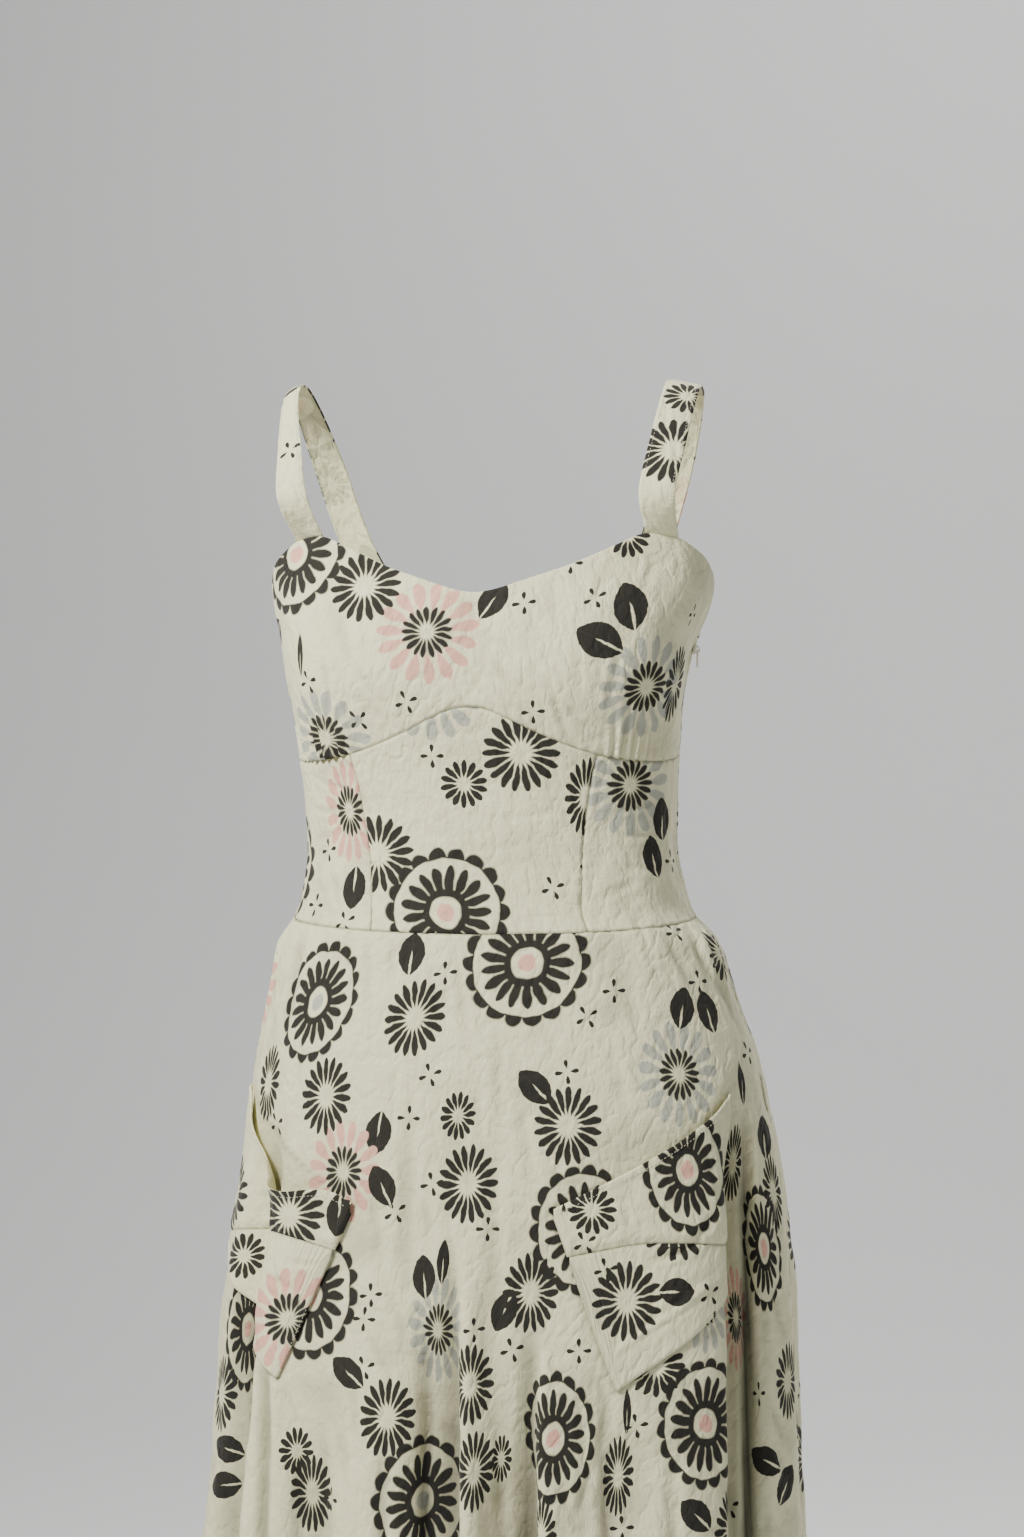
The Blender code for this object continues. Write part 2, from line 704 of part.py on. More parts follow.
def zip_pull():
    """The pull tab, hanging straight down from its bar inside the crown."""
    pivot = pull_pivot()
    half_width, half_thick = ZIP["tab_width"] / 2.0, ZIP["tab_thickness"] / 2.0
    head = ZIP["bar"] / 2.0
    body = block((-half_thick, -half_width, -ZIP["tab_length"]),
                 (half_thick, half_width, head), 0.25)
    slot_half = ZIP["slot_width"] / 2.0
    slot = block((-3.0, -slot_half, -head - ZIP["slot_length"]), (3.0, slot_half, -head))
    place = Matrix.Translation(pivot)
    tab = placed("zip_pull", body, place, ENAMEL, 0.35, 0.2)
    cutter = placed("zip_slot", slot, place, ENAMEL, 0.35, 0.2)
    cut_or_join(tab, cutter, "DIFFERENCE")


def build():
    """Model every piece of the dress."""
    for old in list(bpy.data.objects):
        bpy.data.objects.remove(old)
    bust_front()
    midriff("midriff_front", 0)
    midriff("midriff_side_left", 1)
    midriff("midriff_side_right", -1)
    bodice_back()
    skirt("skirt_front", skirt_columns())
    gap = seam_gap(SKIRT_RADIUS)
    skirt("skirt_back", spread(skirt_stops(90.0 + gap, 270.0 - gap), skirt_step))
    pocket(1, "left")
    pocket(-1, "right")
    strap("strap_left", 1, STRAP_LEFT)
    strap("strap_right", -1, STRAP_RIGHT)
    zip_slider()
    zip_pull()


build()
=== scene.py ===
"""Looks of the strappy summer dress: fine cloth with its creases and gathers, the flowered
print, stitching, the side zip, soft studio light and the camera.

Tables are in millimetres and degrees unless they say otherwise. A turn is the angle round the
dress from the centre front towards +X, so the left side seam is at 90 and the back at 180.
Picture places are pixels of a 1024 by 1537 picture taken by this script's own camera.
"""
import json
import math

import bmesh
import bpy
import numpy as np
from mathutils import Matrix, Vector

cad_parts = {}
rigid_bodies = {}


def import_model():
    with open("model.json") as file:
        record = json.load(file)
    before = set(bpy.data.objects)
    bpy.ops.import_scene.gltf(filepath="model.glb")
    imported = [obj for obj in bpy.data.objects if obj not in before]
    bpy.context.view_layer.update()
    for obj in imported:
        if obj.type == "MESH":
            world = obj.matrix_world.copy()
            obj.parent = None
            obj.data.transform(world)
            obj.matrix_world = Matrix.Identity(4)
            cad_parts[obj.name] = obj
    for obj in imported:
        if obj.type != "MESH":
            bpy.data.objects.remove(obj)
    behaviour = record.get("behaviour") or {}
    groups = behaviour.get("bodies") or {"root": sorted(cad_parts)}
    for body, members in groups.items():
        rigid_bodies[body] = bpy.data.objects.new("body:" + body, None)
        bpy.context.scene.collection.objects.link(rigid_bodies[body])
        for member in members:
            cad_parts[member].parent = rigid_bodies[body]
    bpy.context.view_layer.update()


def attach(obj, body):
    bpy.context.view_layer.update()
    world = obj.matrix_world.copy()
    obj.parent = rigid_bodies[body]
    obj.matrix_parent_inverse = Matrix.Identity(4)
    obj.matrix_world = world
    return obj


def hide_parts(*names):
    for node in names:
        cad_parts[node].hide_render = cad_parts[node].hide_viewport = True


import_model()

MM = 0.001
HEM = -1080.0
HEM_WIDTH = 22.0
FACING_WIDTH = 8.5
WAIST_AT_SIDE = -408.0

# The zip: its ends, how many teeth, a tooth's half sizes and how deep it is set, and the tape's
# half width, thickness and place behind the teeth
ZIP_ENDS = (-208.0, -440.0)
ZIP_TEETH = 117
TOOTH = (0.7, 1.9, 0.62)
TOOTH_DEPTH = 0.55
TAPE_HALF_WIDTH = 9.0
TAPE_CLOTH = 0.4
TAPE_BEHIND = 1.9

# Strength of the fine relief on the skirt, the bodice and the small pieces, and how many
# millimetres of crumple, or of a crease on the hidden sides, go to a degree of turn
SKIRT_RELIEF = 1.12
BODICE_RELIEF = 0.75
SMALL_RELIEF = 0.8
CRUMPLE_PER_DEGREE = 2.3
HIDDEN_CREASE_PER_DEGREE = 2.6

# Seams and edges: how deep and how far in the cloth sinks, and a pucker's depth, pitch and reach
SEAM_SINK = (1.0, 2.6)
EDGE_SINK = (0.6, 1.2)
PUCKER = (0.32, 8.5, 9.0)

# The worn form of the cloth: half width, depth of front and of back, sideways lean of the
# section, and the skirt's turn about the form
SECTION_COLUMNS = ("height", "half_width", "front", "back", "lean", "twist")
SECTIONS = (
    (-100, 168, 78, 98, 4, 0),
    (-130, 172, 84, 99, 5, 0),
    (-155, 172, 92, 99, 4, 0),
    (-175, 167, 98, 98, 3, 0),
    (-200, 157, 101, 96, 1, 0),
    (-242, 149, 100, 93, 0, 0),
    (-275, 147, 96, 90, 0, 0),
    (-320, 144, 92, 80, 1, 0),
    (-358, 143, 91, 74, 2, 0),
    (-381, 147, 93, 75, 3, 0),
    (-404, 153, 97, 80, 4, 0),
    (-425, 167, 102, 90, 8, -1),
    (-467, 180, 110, 106, 10, -3),
    (-511, 193, 117, 118, 13, -5),
    (-550, 199, 122, 127, 15, -6),
    (-592, 204, 127, 133, 16, -6.5),
    (-642, 211, 132, 138, 15, -6.5),
    (-704, 219, 137, 143, 12, -6.5),
    (-781, 223, 143, 147, 11, -6.5),
    (-858, 228, 149, 151, 9, -6.5),
    (-960, 237, 156, 157, 6, -6.5),
    (-1080, 248, 164, 165, 3, -6.5),
)
SQUARENESS = 2.3

# Edges and seams as heights at each turn, the same on both sides
FRONT_EDGE = (
    (0, -164.5), (5, -162), (13, -154), (22, -144.5), (31, -133), (40, -122), (43.5, -119.5),
    (49, -119.5), (55, -122.5), (64, -131), (73, -141), (80, -155), (85, -175), (90, -197),
)
BACK_EDGE = (
    (90, -197), (96, -194), (110, -186), (128, -176), (146, -170), (164, -172), (180, -174),
)
UNDERBUST = (
    (0, -249), (5, -251), (11, -258), (19, -268.5), (27, -277), (36, -284), (50, -289),
    (70, -289), (90, -285),
)
WAIST = (
    (0, -418), (30, -416), (60, -412), (90, WAIST_AT_SIDE), (130, -406), (180, -406),
)
PANEL_SEAM = ((-280, 36.6), (-350, 33.4), (-418, 29.6))
BUST_SWELL = {"turn": 43.0, "height": -222.0, "across": 30.0, "up": 52.0, "depth": 15.0}

# Gathers above each side panel: turn, how far up they reach, depth, half width in degrees,
# and how far the ridge leans out in each 60 mm of height
GATHERS_LEFT = (
    (40.0, 34, 1.6, 1.5, -1.0), (43.2, 58, 2.4, 1.7, -1.5), (46.9, 71, 2.1, 1.9, -0.6),
    (50.1, 46, 2.6, 1.5, 0.2), (53.4, 66, 2.2, 1.8, 0.9), (56.6, 38, 2.5, 1.5, 1.3),
    (60.0, 60, 2.3, 1.8, 1.9), (63.0, 42, 2.0, 1.5, 2.4), (65.6, 27, 1.5, 1.3, 2.6),
)
GATHERS_RIGHT = (
    (39.6, 40, 1.8, 1.5, -1.2), (42.6, 66, 2.3, 1.8, -1.9), (46.0, 44, 2.6, 1.6, -0.9),
    (49.3, 73, 2.3, 1.9, -0.2), (52.8, 50, 2.5, 1.6, 0.8), (56.2, 62, 2.2, 1.8, 1.4),
    (59.2, 35, 2.4, 1.4, 1.9), (62.3, 52, 2.1, 1.7, 2.5), (65.2, 30, 1.6, 1.3, 3.0),
)

# Folds of the skirt: turn in the cloth, height where the fold starts and where it is full,
# half width and depth (a negative depth is a valley), and how far it wanders by the hem
FOLDS = (
    (66.5, -520, -640, 10, -24, -1),
    (86, -500, -640, 12, 5, 0),
    (47.5, -560, -700, 13, 5, 1),
    (35.5, -745, -850, 5, -5, -1),
    (23.5, -650, -830, 7, 7, -1),
    (14.5, -690, -870, 7, -13, 0),
    (5.5, -640, -820, 7, 6, 2),
    (-2.5, -640, -810, 7, -13, 3),
    (-13.5, -650, -830, 9, 6, 0),
    (-24.5, -730, -890, 8, -10, 0),
    (-36.5, -600, -760, 9, 7, 0),
    (-48.5, -540, -650, 9, -20, -1),
    (-86, -600, -760, 10, -5, 0),
    (-106, -480, -640, 13, 6, 0),
    (-124, -540, -700, 10, -16, 2),
    (-142, -560, -720, 12, 8, 0),
    (-160, -600, -760, 10, -14, -2),
    (-177, -560, -720, 11, 8, 0),
    (-194, -580, -740, 10, -15, 2),
    (-212, -560, -720, 12, 8, 0),
    (-231, -540, -700, 10, -17, -2),
    (-249, -500, -650, 12, 6, 0),
)
WAIST_TUCKS = {"turns": (70.0, 79.0, -72.0, -81.0), "across": 3.2, "depth": 4.0, "reach": 95.0}

# Corners of a slanted pocket on the skirt, in turns of the cloth and heights
POCKET = {
    "inner_top": (20.3, -617.0),
    "outer_top": (65.5, -536.0),
    "outer_low": (67.5, -660.0),
    "tip": (33.2, -748.0),
}
BAND_SEAM = ((20.0, -653.0), (42.0, -641.0), (80.0, -655.0))
POCKET_REST = 0.9
POCKET_EASE = 1.4
BAG_LIFT = 1.5
BAND_LIFT = 3.0
POCKET_MM_PER_DEGREE = 3.0

# Where each pocket's mouth gapes: turn, half width in degrees, how far it stands off and sags
GAPES = {"left": (44.0, 20.0, 2.0, 0.0), "right": (43.0, 19.5, 8.0, 29.0)}

# Straps: usual width, how far the middle stands out, and the turns where each end is sewn.
# Then their stations: how far out, forward (-) or back (+), height, width, and the strap's roll
STRAP_WIDTH = 27.0
STRAP_BOW = 1.2
STRAP_FRONT_TURNS = (43.5, 55.0)
STRAP_BACK_TURNS = (152.0, 141.0)
STRAP_LEFT = (
    (137.5, -73.0, -90.0, 27.5, 4), (143.5, -54.0, -50.0, 27.5, 6), (149.0, -27.0, -14.0, 27.0, 8),
    (151.0, 0.0, -1.0, 27.0, 8), (149.0, 30.0, -13.0, 27.0, 8), (138.0, 62.0, -56.0, 27.0, 4),
    (121.0, 79.0, -112.0, 27.0, 0),
)
STRAP_RIGHT = (
    (139.5, -73.0, -90.0, 23.0, 8), (146.0, -54.0, -50.0, 20.0, 24), (151.5, -27.0, -14.0, 17.0, 38),
    (153.0, 0.0, -1.0, 17.0, 30), (150.0, 30.0, -13.0, 20.0, 16), (139.0, 62.0, -56.0, 25.0, 6),
    (122.0, 79.0, -112.0, 27.0, 0),
)

# Thickness of single cloth, of a pocket's doubled mouth band and of a strap
CLOTH = 0.9
BAND_CLOTH = 1.5
STRAP_CLOTH = 1.9

# Spacing of the cloth's points, the margin where a small piece has closer ones, and the columns
# and rows of the skirt's halves and of the tables of lengths
FINE_STEP = 1.7
SMALL_MARGIN = 3.4
SKIRT_STEP_ACROSS = 2.6
SKIRT_STEP_UP = 3.6
SKIRT_FRONT_GRID = (236, 186)
SKIRT_BACK_GRID = (180, 150)
LENGTHS_GRID = (240, 90)

# The camera, which also tells where things fall in the picture
CAMERA = {
    "azimuth": 9.0, "distance": 2600.0, "right": 17.0, "height": -295.0,
    "focal_pixels": 3380.0, "picture": (1024.0, 1537.0),
}
PIXELS_PER_MM = 1.3
CREASE_PIXELS_PER_MM = 1.04 * PIXELS_PER_MM
CAMERA_TURN = math.radians(CAMERA["azimuth"])
CAMERA_RIGHT = np.array([math.cos(CAMERA_TURN), math.sin(CAMERA_TURN), 0.0])
CAMERA_BACK = np.array([math.sin(CAMERA_TURN), -math.cos(CAMERA_TURN), 0.0])
CAMERA_PLACE = (CAMERA_BACK * CAMERA["distance"] + CAMERA_RIGHT * CAMERA["right"]
                + [0.0, 0.0, CAMERA["height"]])


class Curve:
    """A smooth curve through one column of a table, read at any key."""

    def __init__(self, rows, column=1):
        ordered = sorted(rows)
        last = len(ordered) - 1
        self.keys = np.array([row[0] for row in ordered], float)
        self.values = np.array([row[column] for row in ordered], float)
        before = np.maximum(np.arange(last + 1) - 1, 0)
        after = np.minimum(np.arange(last + 1) + 1, last)
        rise = self.values[after] - self.values[before]
        self.slopes = rise / (self.keys[after] - self.keys[before])

    def __call__(self, key):
        key = np.clip(key, self.keys[0], self.keys[-1])
        low = np.clip(np.searchsorted(self.keys, key, side="right") - 1, 0, len(self.keys) - 2)
        span = self.keys[low + 1] - self.keys[low]
        part = (key - self.keys[low]) / span
        return (self.values[low] * (2 * part ** 3 - 3 * part ** 2 + 1)
                + self.slopes[low] * span * (part ** 3 - 2 * part ** 2 + part)
                + self.values[low + 1] * (3 * part ** 2 - 2 * part ** 3)
                + self.slopes[low + 1] * span * (part ** 3 - part ** 2))


SECTION = {name: Curve(SECTIONS, column) for column, name in enumerate(SECTION_COLUMNS)}
front_edge = Curve(FRONT_EDGE)
back_edge = Curve(BACK_EDGE)
underbust = Curve(UNDERBUST)
waist = Curve(WAIST)
panel_seam = Curve(PANEL_SEAM)
band_seam = Curve(BAND_SEAM)


def ease(part):
    """A smooth step from 0 to 1."""
    part = np.clip(part, 0.0, 1.0)
    return part * part * (3.0 - 2.0 * part)


def round_turn(turn):
    """A turn brought between -180 and 180."""
    return (turn + 180.0) % 360.0 - 180.0


def hump(distance, across):
    """A rounded hump that falls to nothing at its half width."""
    return 0.5 + 0.5 * np.cos(np.pi * np.clip(distance / across, -1.0, 1.0))


def plain_point(turn, height):
    """Points of the worn form's section."""
    side, ahead = np.sin(np.radians(turn)), np.cos(np.radians(turn))
    depth = np.where(ahead > 0.0, SECTION["front"](height), SECTION["back"](height))
    reach = (np.abs(side) ** SQUARENESS + np.abs(ahead) ** SQUARENESS) ** (-1.0 / SQUARENESS)
    x = SECTION["lean"](height) + SECTION["half_width"](height) * reach * side
    return np.stack([x, -depth * reach * ahead, height], -1)


def unit(vectors):
    """Vectors brought to a length of 1."""
    return vectors / np.linalg.norm(vectors, axis=-1, keepdims=True)


def pushed(points, centre_x, amount):
    """Points moved level away from the dress's middle line."""
    out = points - np.stack([centre_x, np.zeros_like(centre_x), points[..., 2]], -1)
    return points + unit(out) * amount[..., None]


def bodice_point(turn, height):
    """Points of the bodice with the bust's fullness."""
    plain = plain_point(turn, height)
    side = (np.abs(turn) - BUST_SWELL["turn"]) / BUST_SWELL["across"]
    rise = (height - BUST_SWELL["height"]) / BUST_SWELL["up"]
    swell = BUST_SWELL["depth"] * np.exp(-side * side - rise * rise)
    swell = swell * ease(np.cos(np.radians(turn)) * 3.0)
    return pushed(plain, np.zeros_like(height), swell)


def fold_depth(turn, height):
    """How far the skirt's folds stand out, or in if below 0."""
    total = np.zeros_like(turn + height)
    for middle, top, full, across, depth, drift in FOLDS:
        strength = ease((top - height) / (top - full))
        line = middle + drift * (top - height) / (top - HEM)
        total += depth * strength * hump(round_turn(turn - line), across)
    below = (waist(np.abs(round_turn(turn))) - height) / WAIST_TUCKS["reach"]
    strength = ease(below * 5.0) * (1.0 - ease(below))
    for middle in WAIST_TUCKS["turns"]:
        tuck = hump(round_turn(turn - middle), WAIST_TUCKS["across"])
        total += WAIST_TUCKS["depth"] * strength * tuck
    return total


def skirt_point(turn, height):
    """Points of the skirt; its cloth is turned a little about the worn form."""
    plain = plain_point(turn + SECTION["twist"](height), height)
    return pushed(plain, SECTION["lean"](height), fold_depth(turn, height))


def level_out(point_of, turn, height):
    """Level directions out of a face."""
    step = 0.15
    along = point_of(turn + step, height) - point_of(turn - step, height)
    return unit(np.stack([along[..., 1], -along[..., 0], np.zeros_like(along[..., 0])], -1))


def picture_place(points):
    """Where points fall in the picture, in pixels."""
    ray = points - CAMERA_PLACE
    scale = CAMERA["focal_pixels"] / -(ray @ CAMERA_BACK)
    wide, tall = CAMERA["picture"]
    return wide / 2.0 + (ray @ CAMERA_RIGHT) * scale, tall / 2.0 - ray[..., 2] * scale


def facing(out):
    """How squarely level directions face the camera, from -1 to 1."""
    return out[..., 0] * CAMERA_BACK[0] + out[..., 1] * CAMERA_BACK[1]


def speckle(column, row, seed):
    """A fixed scatter of values from -1 to 1 over a lattice."""
    mixed = (column * 374761393 + row * 668265263 + seed * 974634777) & 0xFFFFFFFF
    mixed = ((mixed ^ (mixed >> 13)) * 1274126177) & 0xFFFFFFFF
    return ((mixed ^ (mixed >> 16)) & 0xFFFF) / 32767.5 - 1.0


def crumple(across, up, wide, tall, seed):
    """Smooth uneven relief whose lumps are that wide and tall, from -1 to 1."""
    x, y = across / wide, up / tall
    column, row = np.floor(x).astype(np.int64), np.floor(y).astype(np.int64)
    part_x, part_y = ease(x - column), ease(y - row)
    low = speckle(column, row, seed) * (1 - part_x) + speckle(column + 1, row, seed) * part_x
    row = row + 1
    high = speckle(column, row, seed) * (1 - part_x) + speckle(column + 1, row, seed) * part_x
    return low * (1 - part_y) + high * part_y


def crease_relief(across, up, rows, scale=1.0):
    """Depth of listed creases: rows of start, end, half width and depth."""
    total = np.zeros_like(across)
    for start_x, start_y, end_x, end_y, half_width, depth in rows:
        run_x, run_y = (end_x - start_x) / scale, (end_y - start_y) / scale
        length = math.hypot(run_x, run_y)
        from_x, from_y = (across - start_x) / scale, (up - start_y) / scale
        part = (from_x * run_x + from_y * run_y) / length ** 2
        aside = np.abs(from_x * run_y - from_y * run_x) / length / half_width
        strength = np.sqrt(np.clip(np.sin(np.pi * np.clip(part, 0.0, 1.0)), 0.0, 1.0))
        profile = np.exp(-1.8 * aside ** 2) - 0.4 * np.exp(-3.0 * (aside - 1.7) ** 2)
        total -= depth * strength * profile
    return total


def stations(length, step, margin=4.0):
    """Places from 0 to 1 along a length, closer together near both ends."""
    near = np.array([0.0, 0.4, 1.0, 1.8, 2.8])
    count = max(2, int(round((length - 2.0 * margin) / step)))
    middle = np.linspace(margin, length - margin, count + 1)
    return np.concatenate([near, middle, length - near[::-1]]) / length


def seam_drop(distance, depth, width):
    """How far a panel's face sinks towards a seam."""
    return depth * (1.0 - ease(distance / width)) ** 1.5


def turned_under(distance, width, depth, slope=1.2):
    """How far a panel's face stands out where its edge is turned under."""
    return depth * (1.0 - ease((distance - width) / slope))


def lengths_along(points, axis):
    """Length of cloth from the first row or column, at each point."""
    step = np.linalg.norm(np.diff(points, axis=axis), axis=-1)
    start = np.zeros_like(np.take(step, [0], axis=axis))
    return np.concatenate([start, np.cumsum(step, axis=axis)], axis=axis)


class Lengths:
    """Lengths over a face, along level lines and up it, at any turn and height."""

    def __init__(self, point_of, turn, height):
        self.turn, self.height = turn, height
        columns, rows = LENGTHS_GRID
        self.columns = np.linspace(turn.min() - 4.0, turn.max() + 4.0, columns)
        self.rows = np.linspace(height.min() - 6.0, height.max() + 6.0, rows)
        points = point_of(*np.meshgrid(self.columns, self.rows))
        self.across, self.up = lengths_along(points, 1), lengths_along(points, 0)

    def read(self, table, turn, height):
        """A value of one of the two tables."""
        x = (turn - self.columns[0]) / (self.columns[1] - self.columns[0])
        y = (height - self.rows[0]) / (self.rows[1] - self.rows[0])
        columns, rows = LENGTHS_GRID
        x, y = np.clip(x, 0.0, columns - 1.001), np.clip(y, 0.0, rows - 1.001)
        column, row = x.astype(int), y.astype(int)
        x, y = x - column, y - row
        low = table[row, column] * (1.0 - x) + table[row, column + 1] * x
        high = table[row + 1, column] * (1.0 - x) + table[row + 1, column + 1] * x
        return low * (1.0 - y) + high * y

    def about(self, row, column):
        """Lengths across and up from one of the panel's points to all of them."""
        turn, height = self.turn[row, column], self.height[row, column]
        across = self.read(self.across, self.turn, self.height)
        across -= self.read(self.across, np.full_like(self.turn, turn), self.height)
        up = self.read(self.up, self.turn, self.height)
        up -= self.read(self.up, self.turn, np.full_like(self.height, height))
        return across, up


class Panel:
    """A panel of cloth: its points in rows from the foot up, and lengths over the cloth."""

    def __init__(self, name, points, out, wall=CLOTH, lengths=None):
        self.lengths = lengths
        self.name = name
        self.points = points
        self.out = out
        self.wall = wall
        middle = points.shape[1] // 2
        self.across = lengths_along(points, 1)
        self.up = lengths_along(points, 0)
        self.picture_x, self.picture_y = picture_place(points)
        self.seen = facing(out) > 0.05
        self.cloth_x = self.across - self.across[:, middle:middle + 1]
        # How much painted shade darkens the cloth's colour at each point, from 0 to 1
        self.shade = np.zeros(points.shape[:2])
        self.laid_out = points
        self.flat_box = None
        self.motifs = []

    def nearest(self, x, y):
        """Row and column of the seen point nearest to a picture place, and what is left over."""
        away = (self.picture_x - x) ** 2 + (self.picture_y - y) ** 2
        away = np.where(self.seen, away, 1e12)
        row, column = np.unravel_index(np.argmin(away), away.shape)
        left_x = (x - self.picture_x[row, column]) / PIXELS_PER_MM
        left_y = (self.picture_y[row, column] - y) / PIXELS_PER_MM
        return row, column, left_x, left_y


# Fine wrinkles: the lean of their lines, how far apart they are across and up, and their depth
WRINKLES = ((0.35, 24.0, 58.0, 0.78), (-0.55, 29.0, 46.0, 0.68), (0.10, 15.0, 40.0, 0.42))


def cloth_relief(panel_x, panel_y, seed, strength=1.0):
    """Fine crumple of washed linen and cotton."""
    relief = 0.95 * crumple(panel_x, panel_y, 21.0, 36.0, seed)
    relief += 0.36 * crumple(panel_x + 0.3 * panel_y, panel_y, 9.0, 14.0, seed + 1)
    relief += 0.13 * crumple(panel_x - 0.2 * panel_y, panel_y, 4.4, 6.4, seed + 2)
    for number, (lean, wide, tall, depth) in enumerate(WRINKLES):
        bent = panel_x + lean * panel_y + 5.0 * crumple(panel_x, panel_y, 21.0, 26.0, seed + 5)
        line = crumple(bent, panel_y, wide, tall, seed + 11 + number)
        patchy = ease(0.25 + crumple(panel_x, panel_y, 44.0, 60.0, seed + 21 + number))
        relief -= depth * patchy * np.exp(-(line / 0.27) ** 2)
    return relief * strength


def painted_crease_shade(relief):
    """How much the cloth's colour is darkened in its creases, from 0 to 1: painted shade."""
    return 0.50 * np.clip(-(relief + 0.3) / 6.0, 0.0, 1.0) ** 0.7


def painted_seam_shade(distance, amount=0.38, width=1.0):
    """How much the cloth's colour is darkened along a seam, from 0 to 1: painted shade."""
    return amount * np.exp(-(distance / width) ** 2)


def pucker(along, distance, depth, pitch, reach, seed):
    """Small waves that a seam draws into the cloth beside it."""
    wave = np.sin(2.0 * np.pi * along / pitch + 2.2 * crumple(along, 0.0 * along, 23.0, 9.0, seed))
    return depth * wave * np.exp(-distance / reach)


def sewn_panel(name, point_of, turn, height, seed, sewn, extra=None, free=(), wall=CLOTH):
    """A panel on its face: crumpled, sunk and puckered at its sewn sides, turned in at its free ones.

    Sides are left, right, foot and head, seen from outside.
    """
    points = point_of(turn, height)
    out = level_out(point_of, turn, height)
    across, up = lengths_along(points, 1), lengths_along(points, 0)
    distance = {
        "left": across, "right": across[:, -1:] - across,
        "foot": up, "head": up[-1:, :] - up,
    }
    along = {"left": up, "right": up, "foot": across, "head": across}
    on_skirt = point_of is skirt_point
    strength = SKIRT_RELIEF if on_skirt else BODICE_RELIEF
    relief = cloth_relief(turn * CRUMPLE_PER_DEGREE, height, seed, strength)
    if extra is not None:
        relief = relief + extra(points, out, across, up)
    # Painted shade: the cloth's colour is darkened in its sunk creases and along its sewn sides
    shade = painted_crease_shade(relief)
    for side in sewn:
        shade = np.maximum(shade, painted_seam_shade(distance[side]))
    for number, side in enumerate(sewn):
        relief -= seam_drop(distance[side], *SEAM_SINK)
        depth, pitch, reach = PUCKER
        relief += pucker(along[side], distance[side], depth, pitch + number, reach, seed + 7 + number)
    for side in free:
        relief -= seam_drop(distance[side], *EDGE_SINK)
        relief += turned_under(distance[side], FACING_WIDTH, 0.4)
    lengths = None if on_skirt else Lengths(point_of, turn, height)
    panel = Panel(name, points + out * relief[..., None], out, wall, lengths)
    panel.shade = shade
    return panel


# Creases by where they lie in the picture: places across and down it where each starts and
# ends, half width and depth in millimetres
BUST_CREASES = (
    (547, 680, 568, 737, 3.2, 1.5), (492, 660, 513, 688, 3.0, 0.8), (354, 664, 375, 695, 3.4, 1.0),
    (560, 700, 600, 742, 2.6, 0.9), (330, 600, 352, 668, 5.0, 1.0), (622, 640, 608, 712, 4.0, 1.1),
    (576, 650, 583, 700, 3.2, 0.7), (322, 655, 331, 720, 2.6, 1.2), (344, 690, 352, 748, 2.4, 1.0),
    (640, 600, 655, 560, 4.0, 0.8), (398, 690, 404, 733, 2.8, 0.7), (590, 612, 612, 560, 4.4, 0.7),
    (470, 668, 486, 700, 2.8, 0.6), (520, 640, 536, 668, 3.4, 0.5),
)
MIDRIFF_CREASES = (
    (377, 735, 377, 780, 2.2, 0.9), (392, 758, 405, 789, 2.6, 0.8), (405, 800, 480, 801, 1.8, 0.4),
    (559, 764, 559, 915, 1.6, 0.45), (528, 914, 560, 917, 1.7, 0.6), (420, 740, 424, 775, 2.4, 0.5),
    (500, 820, 560, 812, 3.4, 0.5), (470, 850, 540, 842, 3.0, 0.4), (575, 745, 583, 800, 2.4, 0.7),
    (540, 745, 536, 790, 2.2, 0.4), (352, 770, 372, 822, 3.0, 0.8), (318, 780, 352, 792, 2.6, 0.8),
    (314, 808, 350, 816, 2.8, 0.8), (318, 838, 344, 832, 2.6, 0.7), (616, 812, 664, 800, 3.0, 0.9),
    (620, 838, 668, 832, 3.0, 0.8), (628, 866, 660, 872, 2.8, 0.7), (600, 900, 640, 880, 3.0, 0.7),
    (512, 868, 524, 905, 3.0, 0.4), (578, 880, 584, 916, 2.6, 0.6), (332, 872, 340, 915, 2.6, 0.8),
    (364, 890, 368, 922, 2.4, 0.6),
)
